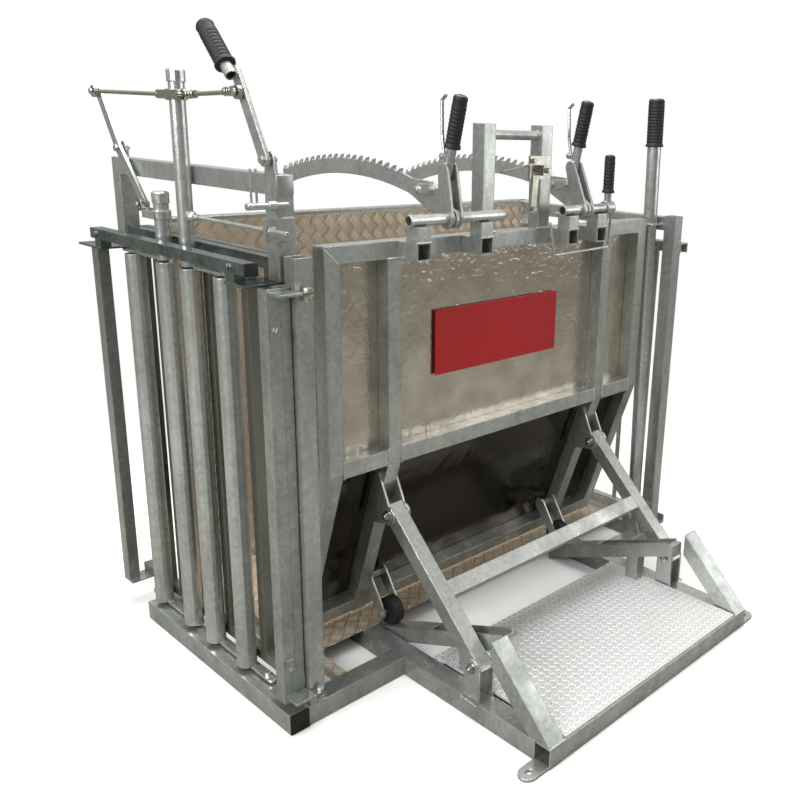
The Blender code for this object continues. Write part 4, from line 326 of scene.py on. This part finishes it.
def turned_piece(name, outline, base, along, body, finish, steps=28):
    """Spin an outline of (radius, distance) round an axis and hang it on a body."""
    bm = bmesh.new()
    verts = [bm.verts.new((r, 0.0, d)) for r, d in outline]
    edges = [bm.edges.new(pair) for pair in zip(verts, verts[1:])]
    bmesh.ops.spin(bm, geom=verts + edges, cent=(0, 0, 0), axis=(0, 0, 1), angle=2 * math.pi,
                   steps=steps, use_merge=True)
    bmesh.ops.remove_doubles(bm, verts=bm.verts[:], dist=0.00002)
    turn = Vector((0, 0, 1)).rotation_difference(Vector(along)).to_matrix().to_4x4()
    bmesh.ops.transform(bm, matrix=Matrix.Translation(base) @ turn, verts=bm.verts[:])
    bmesh.ops.recalc_face_normals(bm, faces=bm.faces[:])
    return settle(name, bm, body, finish)


RIB_STEP = 0.009
FIRST_RIB = 0.012  # from the open end, past the collar
PLAIN_LENGTH = 0.030  # the collar and the dome, which have no ribs


def grip_outline(radius, length, inner):
    """A collar, a row of ribs and a dome."""
    points = [(inner, 0.0), (radius + 0.0022, 0.0), (radius + 0.0028, 0.003), (radius + 0.0010, 0.008)]
    for i in range(int((length - PLAIN_LENGTH) / RIB_STEP)):
        d = FIRST_RIB + i * RIB_STEP
        points += [(radius - 0.0012, d), (radius - 0.0002, d + 0.0020)]
        points += [(radius + 0.0002, d + 0.0045), (radius - 0.0002, d + 0.0070)]
    points += [(radius - 0.0010, length - 0.012), (radius, length - 0.008)]
    points += [(radius * 0.86, length - 0.002), (radius * 0.45, length + 0.0008)]
    return points + [(0.0, length + 0.0012)]


print("grip outline points", len(grip_outline(0.0175, 0.118, 0.0125)))

# %% Grips
grips = (
    ("grip_1", "lever_a", (0.465, -0.0142, 1.3043), (0, -0.2355, 0.9719), 0.0175, 0.118, 0.0125),
    ("grip_2", "lever_b", (0.955, 0.0138, 1.3106), (0, -0.2099, 0.9777), 0.0175, 0.118, 0.0125),
    ("grip_3", "lever_c", (1.060, -0.0150, 1.1870), (0, 0, 1), 0.0150, 0.102, 0.0105),
    ("yoke_grip", "yoke", (-0.0005, 0.1411, 1.4535), (0, 0.6952, 0.7189), 0.0190, 0.1104, 0.0130),
    ("rear_grip", "rear_hand", (1.375, 0.0579, 1.3100), (0, 0.0222, 0.9998), 0.0247, 0.1405, 0.0217),
)
for name, body, base, along, radius, length, inner in grips:
    outline = grip_outline(radius, length, inner)
    sleeve = turned_piece(name + "_sleeve", outline, base, along, body, rubber)
    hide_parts(name)
print("grips", len(grips))

# %% [markdown]
# ## Weld beads
# Tubes meet at fillet welds: small overlapping puddles of metal, a few millimetres wide, under the
# zinc. A bead here is a row of small overlapping balls from the icosphere operator, half sunk in the
# tubes, with all the seams of a body in one mesh.


# %% Bead builder
BEAD_STEP = 0.0042
BEAD_RADIUS = 0.0031
BEAD_SWING = 0.0005  # the puddles grow and shrink by this much along a seam


def weld_seams(name, seams, body):
    """Rows of overlapping puddles from one point to another."""
    bm = bmesh.new()
    for start, end in seams:
        start = Vector(start)
        end = Vector(end)
        count = max(2, int((end - start).length / BEAD_STEP))
        for i in range(count + 1):
            spot = start.lerp(end, i / count)
            size = BEAD_RADIUS + BEAD_SWING * math.sin(i * 2.3 + start.z * 40)
            seat = Matrix.Translation(spot)
            bmesh.ops.create_icosphere(bm, subdivisions=1, radius=size, matrix=seat)
    made = settle(name, bm, body, weld_zinc)
    return made


def along_x(start, end, y, z):
    """A seam in the direction of X."""
    return (start, y, z), (end, y, z)


def along_y(x, start, end, z):
    """A seam in the direction of Y."""
    return (x, start, z), (x, end, z)


# %% Weld seams
PANEL_BACK = 0.035
ARM_XS = (0.337, 1.138)
TUBE_HALF = 0.020
panel_seams = []
for x in (0.1835, 0.317, 0.357, 1.118, 1.158, 1.2915):
    panel_seams.append(((x, PANEL_BACK, 0.555), (x, PANEL_BACK, 0.595)))
for x in ARM_XS:
    panel_seams.append(along_x(x - TUBE_HALF, x + TUBE_HALF, PANEL_BACK, 1.057))
for x in (0.6430, 0.8440):
    panel_seams.append(along_x(x - TUBE_HALF, x + TUBE_HALF, PANEL_BACK, 1.0975))
for x in (0.365, 0.566, 0.893, 1.016):
    panel_seams.append(along_x(x - TUBE_HALF, x + TUBE_HALF, -PANEL_BACK, 1.097))
crate_seams = []
for y, z in ((-0.469, 0.050), (-0.518, 0.051)):
    crate_seams += [along_x(0.312, 0.362, y, z), along_x(1.113, 1.163, y, z)]
crate_seams += [along_x(1.389, 1.439, 0.025, 0.050), along_y(0.025, -0.024, 0.024, 0.050)]
crate_seams += [((0.302, -0.294, 0.051), (0.304, -0.244, 0.051)), along_y(1.1762, -0.294, -0.244, 0.051)]
crate_seams += [along_x(0.033, 0.071, -0.025, 0.051), along_x(1.400, 1.438, -0.025, 0.051)]
gate_seams = [along_y(0.0455, 0.021, 0.061, 1.209), along_y(0.0455, 0.725, 0.765, 1.209)]
gate_seams += [along_y(0.0450, 0.062, 0.078, 1.250)]
panel_beads = weld_seams("panel_weld_beads", panel_seams, "panel")
crate_beads = weld_seams("crate_weld_beads", crate_seams, "crate")
gate_beads = weld_seams("gate_weld_beads", gate_seams, "gate")
print("bead triangles", sum(len(o.data.polygons) for o in (panel_beads, crate_beads, gate_beads)))

# %% [markdown]
# ## Rod ends
# The link rods of the neck yoke are threaded. Lock nuts and ball housings sit in a row behind each
# eye, so that the length can be set. Seen from a few steps away they are a string of bright collars,
# and a turned outline with waists between the collars gives just that.


# %% Rod end builder
ROD = 0.0044
CHAMFER = 0.0012
COLLARS = ((0.0098, 0.009), (0.0082, 0.006), (0.0092, 0.011))  # radius and width of each
COLLAR_GAP = 0.0024


def collar_outline():
    """The collars with the rod showing between them."""
    points = [(ROD, 0.0)]
    d = 0.0
    for radius, width in COLLARS:
        end = d + width
        points += [(radius - CHAMFER, d), (radius, d + CHAMFER), (radius, end - CHAMFER)]
        points += [(radius - CHAMFER, end), (ROD, end + 0.0002), (ROD, end + 0.0022)]
        d = end + COLLAR_GAP
    return points[:-1]


# %% Rod ends and caps
rod_ends = (
    ("near_lever_end", "link_near", (0.003, 0.1235, 1.4044), (0, 0.9995, -0.0318)),
    ("near_pipe_end", "link_near", (0.003, 0.3080, 1.3980), (0, -0.9995, 0.0318)),
    ("far_pipe_end", "link_far", (0.003, 0.4130, 1.3978), (0, 0.9998, 0.0160)),
)
for name, body, base, along in rod_ends:
    piece = turned_piece(name, collar_outline(), base, along, body, zinc_plate, 18)


def plug(name, low, high, bevel, body, finish):
    """A box with rounded edges, for caps pressed into tube ends."""
    bm = bmesh.new()
    low = Vector(low)
    high = Vector(high)
    size = Matrix.Diagonal((*(high - low), 1.0))
    bmesh.ops.create_cube(bm, size=1.0, matrix=Matrix.Translation((low + high) / 2) @ size)
    bmesh.ops.bevel(bm, geom=bm.edges[:], offset=bevel, affect="EDGES", segments=3, profile=0.5,
                    material=-1)
    bmesh.ops.recalc_face_normals(bm, faces=bm.faces[:])
    made = settle(name, bm, body, finish)


plug("rail_end_cap", (-0.0560, 0.0160, 1.0540), (-0.0248, 0.0205, 1.0808), 0.0012, "gate", cap_plastic)
plug("header_end_plate", (0.0254, 0.0180, 1.2094), (0.0646, 0.0240, 1.2486), 0.0008, "gate", zinc_tube)
print("rod ends", len(rod_ends), "and a cap")

# %% [markdown]
# ## Bolts
# The pivots have zinc-plated bolts with a washer, a chamfered hexagon and a short tapered thread end.
# All three come from the cone operator; the hexagon has six sides and a bevel. They stand over the
# plain bolts of the solids.


# %% Bolt builder
def add_disc(bm, seat, sides, radii, depth, height):
    """A tapered disc, centred at a height over its seat."""
    return bmesh.ops.create_cone(
        bm, cap_ends=True, segments=sides, radius1=radii[0], radius2=radii[1], depth=depth,
        matrix=seat @ Matrix.Translation((0, 0, height)))


def bolt_face(name, spots, body, radius):
    """Washer, hexagon and thread end at each (place, direction)."""
    bm = bmesh.new()
    for spot, along in spots:
        turn = Vector((0, 0, 1)).rotation_difference(Vector(along)).to_matrix().to_4x4()
        seat = Matrix.Translation(spot) @ turn
        add_disc(bm, seat, 28, (radius * 1.32, radius * 1.28), 0.0016, 0.0008)
        nut = add_disc(bm, seat, 6, (radius, radius), 0.0080, 0.0052)
        edges = list(dict.fromkeys(e for v in nut["verts"] for e in v.link_edges))
        bmesh.ops.bevel(bm, geom=edges, offset=0.0008, affect="EDGES", segments=2, profile=0.5,
                        material=-1)
        add_disc(bm, seat, 20, (radius * 0.56, radius * 0.44), 0.0040, 0.0108)
    settle(name, bm, body, zinc_plate)


def both_sides(y, z):
    """The outer sides of both arms at a pivot."""
    return [((x + side * 0.0268, y, z), (side, 0, 0)) for x in ARM_XS for side in (-1, 1)]


# %% Bolts
ARM_BOLT = 0.0108
lugs = both_sides(-0.269, 0.136)
clevises = both_sides(0.036, 0.422)
hinges = [((0.050, -0.039, z), (0, 0, -1)) for z in (0.0802, 1.0117)]
studs = [((-0.009, 0.0120, z), (0, -1, 0)) for z in (0.163, 0.945)]
bolt_face("lug_bolts", lugs, "crate", ARM_BOLT)
bolt_face("clevis_bolts", clevises, "panel", ARM_BOLT)
bolt_face("hinge_bolts", hinges, "crate", 0.0092)
bolt_face("stile_bolts", studs, "gate", 0.0098)
print("bolts at", len(lugs + clevises + hinges + studs), "places")

# %% [markdown]
# ## Floor, light and camera
# The photograph is cut out on white. A pale floor carries a soft shadow, the camera ray sees white
# past it, and large soft lamps light from the left and above, where the zinc is brightest. The side
# towards the operator sees less light, which keeps its tubes darker. For every other ray the floor is
# a mid grey, as a yard is, so that upright metal has something darker to reflect.


# %% Floor
MIDDLE = (0.7, 0.2, 0.0)
FADE_START = 1.0  # metres from the middle, about where the machine's corners are
FADE_END = 2.2


def studio_floor():
    """A wide pale plane that keeps the shadow near the machine and fades to white beyond it."""
    bm = bmesh.new()
    bmesh.ops.create_grid(bm, x_segments=1, y_segments=1, size=14.0,
                          matrix=Matrix.Translation((0.7, 0.2, -0.0015)))
    mesh = bpy.data.meshes.new("studio_floor")
    bm.to_mesh(mesh)
    bm.free()
    made = bpy.data.objects.new("studio_floor", mesh)
    bpy.context.scene.collection.objects.link(made)
    pale = bpy.data.materials.new("pale_studio_floor")
    pale.use_nodes = True
    tree = pale.node_tree
    shader = tree.nodes["Principled BSDF"]
    shader.inputs["Roughness"].default_value = 0.9
    place = add(tree, "ShaderNodeTexCoord").outputs["Object"]
    flat = add(tree, "ShaderNodeVectorMath", {0: place, 1: MIDDLE}, operation="DISTANCE")
    fade = add(tree, "ShaderNodeMapRange", {
        "Value": flat.outputs["Value"], "From Min": FADE_START, "From Max": FADE_END})
    seen = add(tree, "ShaderNodeLightPath").outputs["Is Camera Ray"]
    tone = between(tree, seen, linear("8f8f89"), linear("fdfdfc"))
    tree.links.new(tone, shader.inputs["Base Color"])
    amount = sum_of(tree, "MULTIPLY", fade.outputs[0], seen)
    white = add(tree, "ShaderNodeEmission", {"Color": (1, 1, 1, 1), "Strength": 1.0})
    both = add(tree, "ShaderNodeMixShader", {0: amount, 1: shader.outputs[0], 2: white.outputs[0]})
    tree.links.new(both.outputs[0], tree.nodes["Material Output"].inputs["Surface"])
    mesh.materials.append(pale)


studio_floor()
print("materials", len(bpy.data.materials))

# %% World
world = bpy.data.worlds.new("studio_world")
bpy.context.scene.world = world
world.use_nodes = True
tree = world.node_tree
tree.nodes.clear()
rays = add(tree, "ShaderNodeLightPath")
place = add(tree, "ShaderNodeTexCoord").outputs["Generated"]
parts = add(tree, "ShaderNodeSeparateXYZ", {"Vector": place})
rise = add(tree, "ShaderNodeMapRange", {
    "Value": parts.outputs["Z"], "From Min": -0.05, "From Max": 0.75, "To Min": 0.31, "To Max": 1.0})
side = add(tree, "ShaderNodeMapRange", {
    "Value": parts.outputs["Y"], "From Min": -1.0, "From Max": 0.2, "To Min": 0.44, "To Max": 1.0})
level = sum_of(tree, "MULTIPLY", rise.outputs[0], side.outputs[0])
studio = add(tree, "ShaderNodeBackground", {"Color": linear("f2f1ec"), "Strength": level})
white = add(tree, "ShaderNodeBackground", {"Color": (1, 1, 1, 1), "Strength": 1.0})
both = add(tree, "ShaderNodeMixShader", {
    0: rays.outputs["Is Camera Ray"], 1: studio.outputs[0], 2: white.outputs[0]})
add(tree, "ShaderNodeOutputWorld", {"Surface": both.outputs[0]})
print("world nodes", len(tree.nodes))


# %% Lamps
def lamp(name, spot, target, size, power):
    """A square soft lamp aimed at a point."""
    data = bpy.data.lights.new(name, "AREA")
    data.size = size
    data.energy = power
    made = bpy.data.objects.new(name, data)
    bpy.context.scene.collection.objects.link(made)
    made.location = spot
    made.rotation_euler = (Vector(target) - Vector(spot)).to_track_quat("-Z", "Y").to_euler()


lamp("left_key", (-3.2, -0.4, 2.6), (0.6, 0.2, 0.6), 2.2, 135.0)
lamp("top_soft", (0.7, 0.3, 3.8), (0.7, 0.2, 0.5), 2.6, 120.0)
lamp("right_fill", (3.6, -2.6, 1.8), (0.9, -0.1, 0.5), 2.0, 26.0)
print("lamps", len(bpy.data.lights))

# %% [markdown]
# The camera was solved from the photograph: 47.6 degrees round, 16.4 degrees down, a 2 degree roll and
# a shift, as a crop off centre would give.

# %% Camera
azimuth = math.radians(47.608)
pitch = math.radians(16.380)
roll = math.radians(2.0525)
level_length = math.cos(pitch)
ahead = Vector((math.sin(azimuth) * level_length, math.cos(azimuth) * level_length, -math.sin(pitch)))
right = Vector((math.cos(azimuth), -math.sin(azimuth), 0.0))
up = right.cross(ahead)
level_right = right * math.cos(roll) + up * math.sin(roll)
level_up = up * math.cos(roll) - right * math.sin(roll)
data = bpy.data.cameras.new("photo_camera")
data.lens = 39.716
data.sensor_width = 36.0
data.shift_x = -0.1476
data.shift_y = -0.0184
camera = bpy.data.objects.new("photo_camera", data)
bpy.context.scene.collection.objects.link(camera)
turn = Matrix((level_right, level_up, -ahead)).transposed().to_4x4()
camera.matrix_world = Matrix.Translation((-0.9561, -1.5415, 1.3582)) @ turn
bpy.context.scene.camera = camera
bpy.context.scene.view_settings.view_transform = "Standard"
print("camera at", [round(v, 3) for v in camera.location])

# %% Finish
bpy.context.view_layer.update()
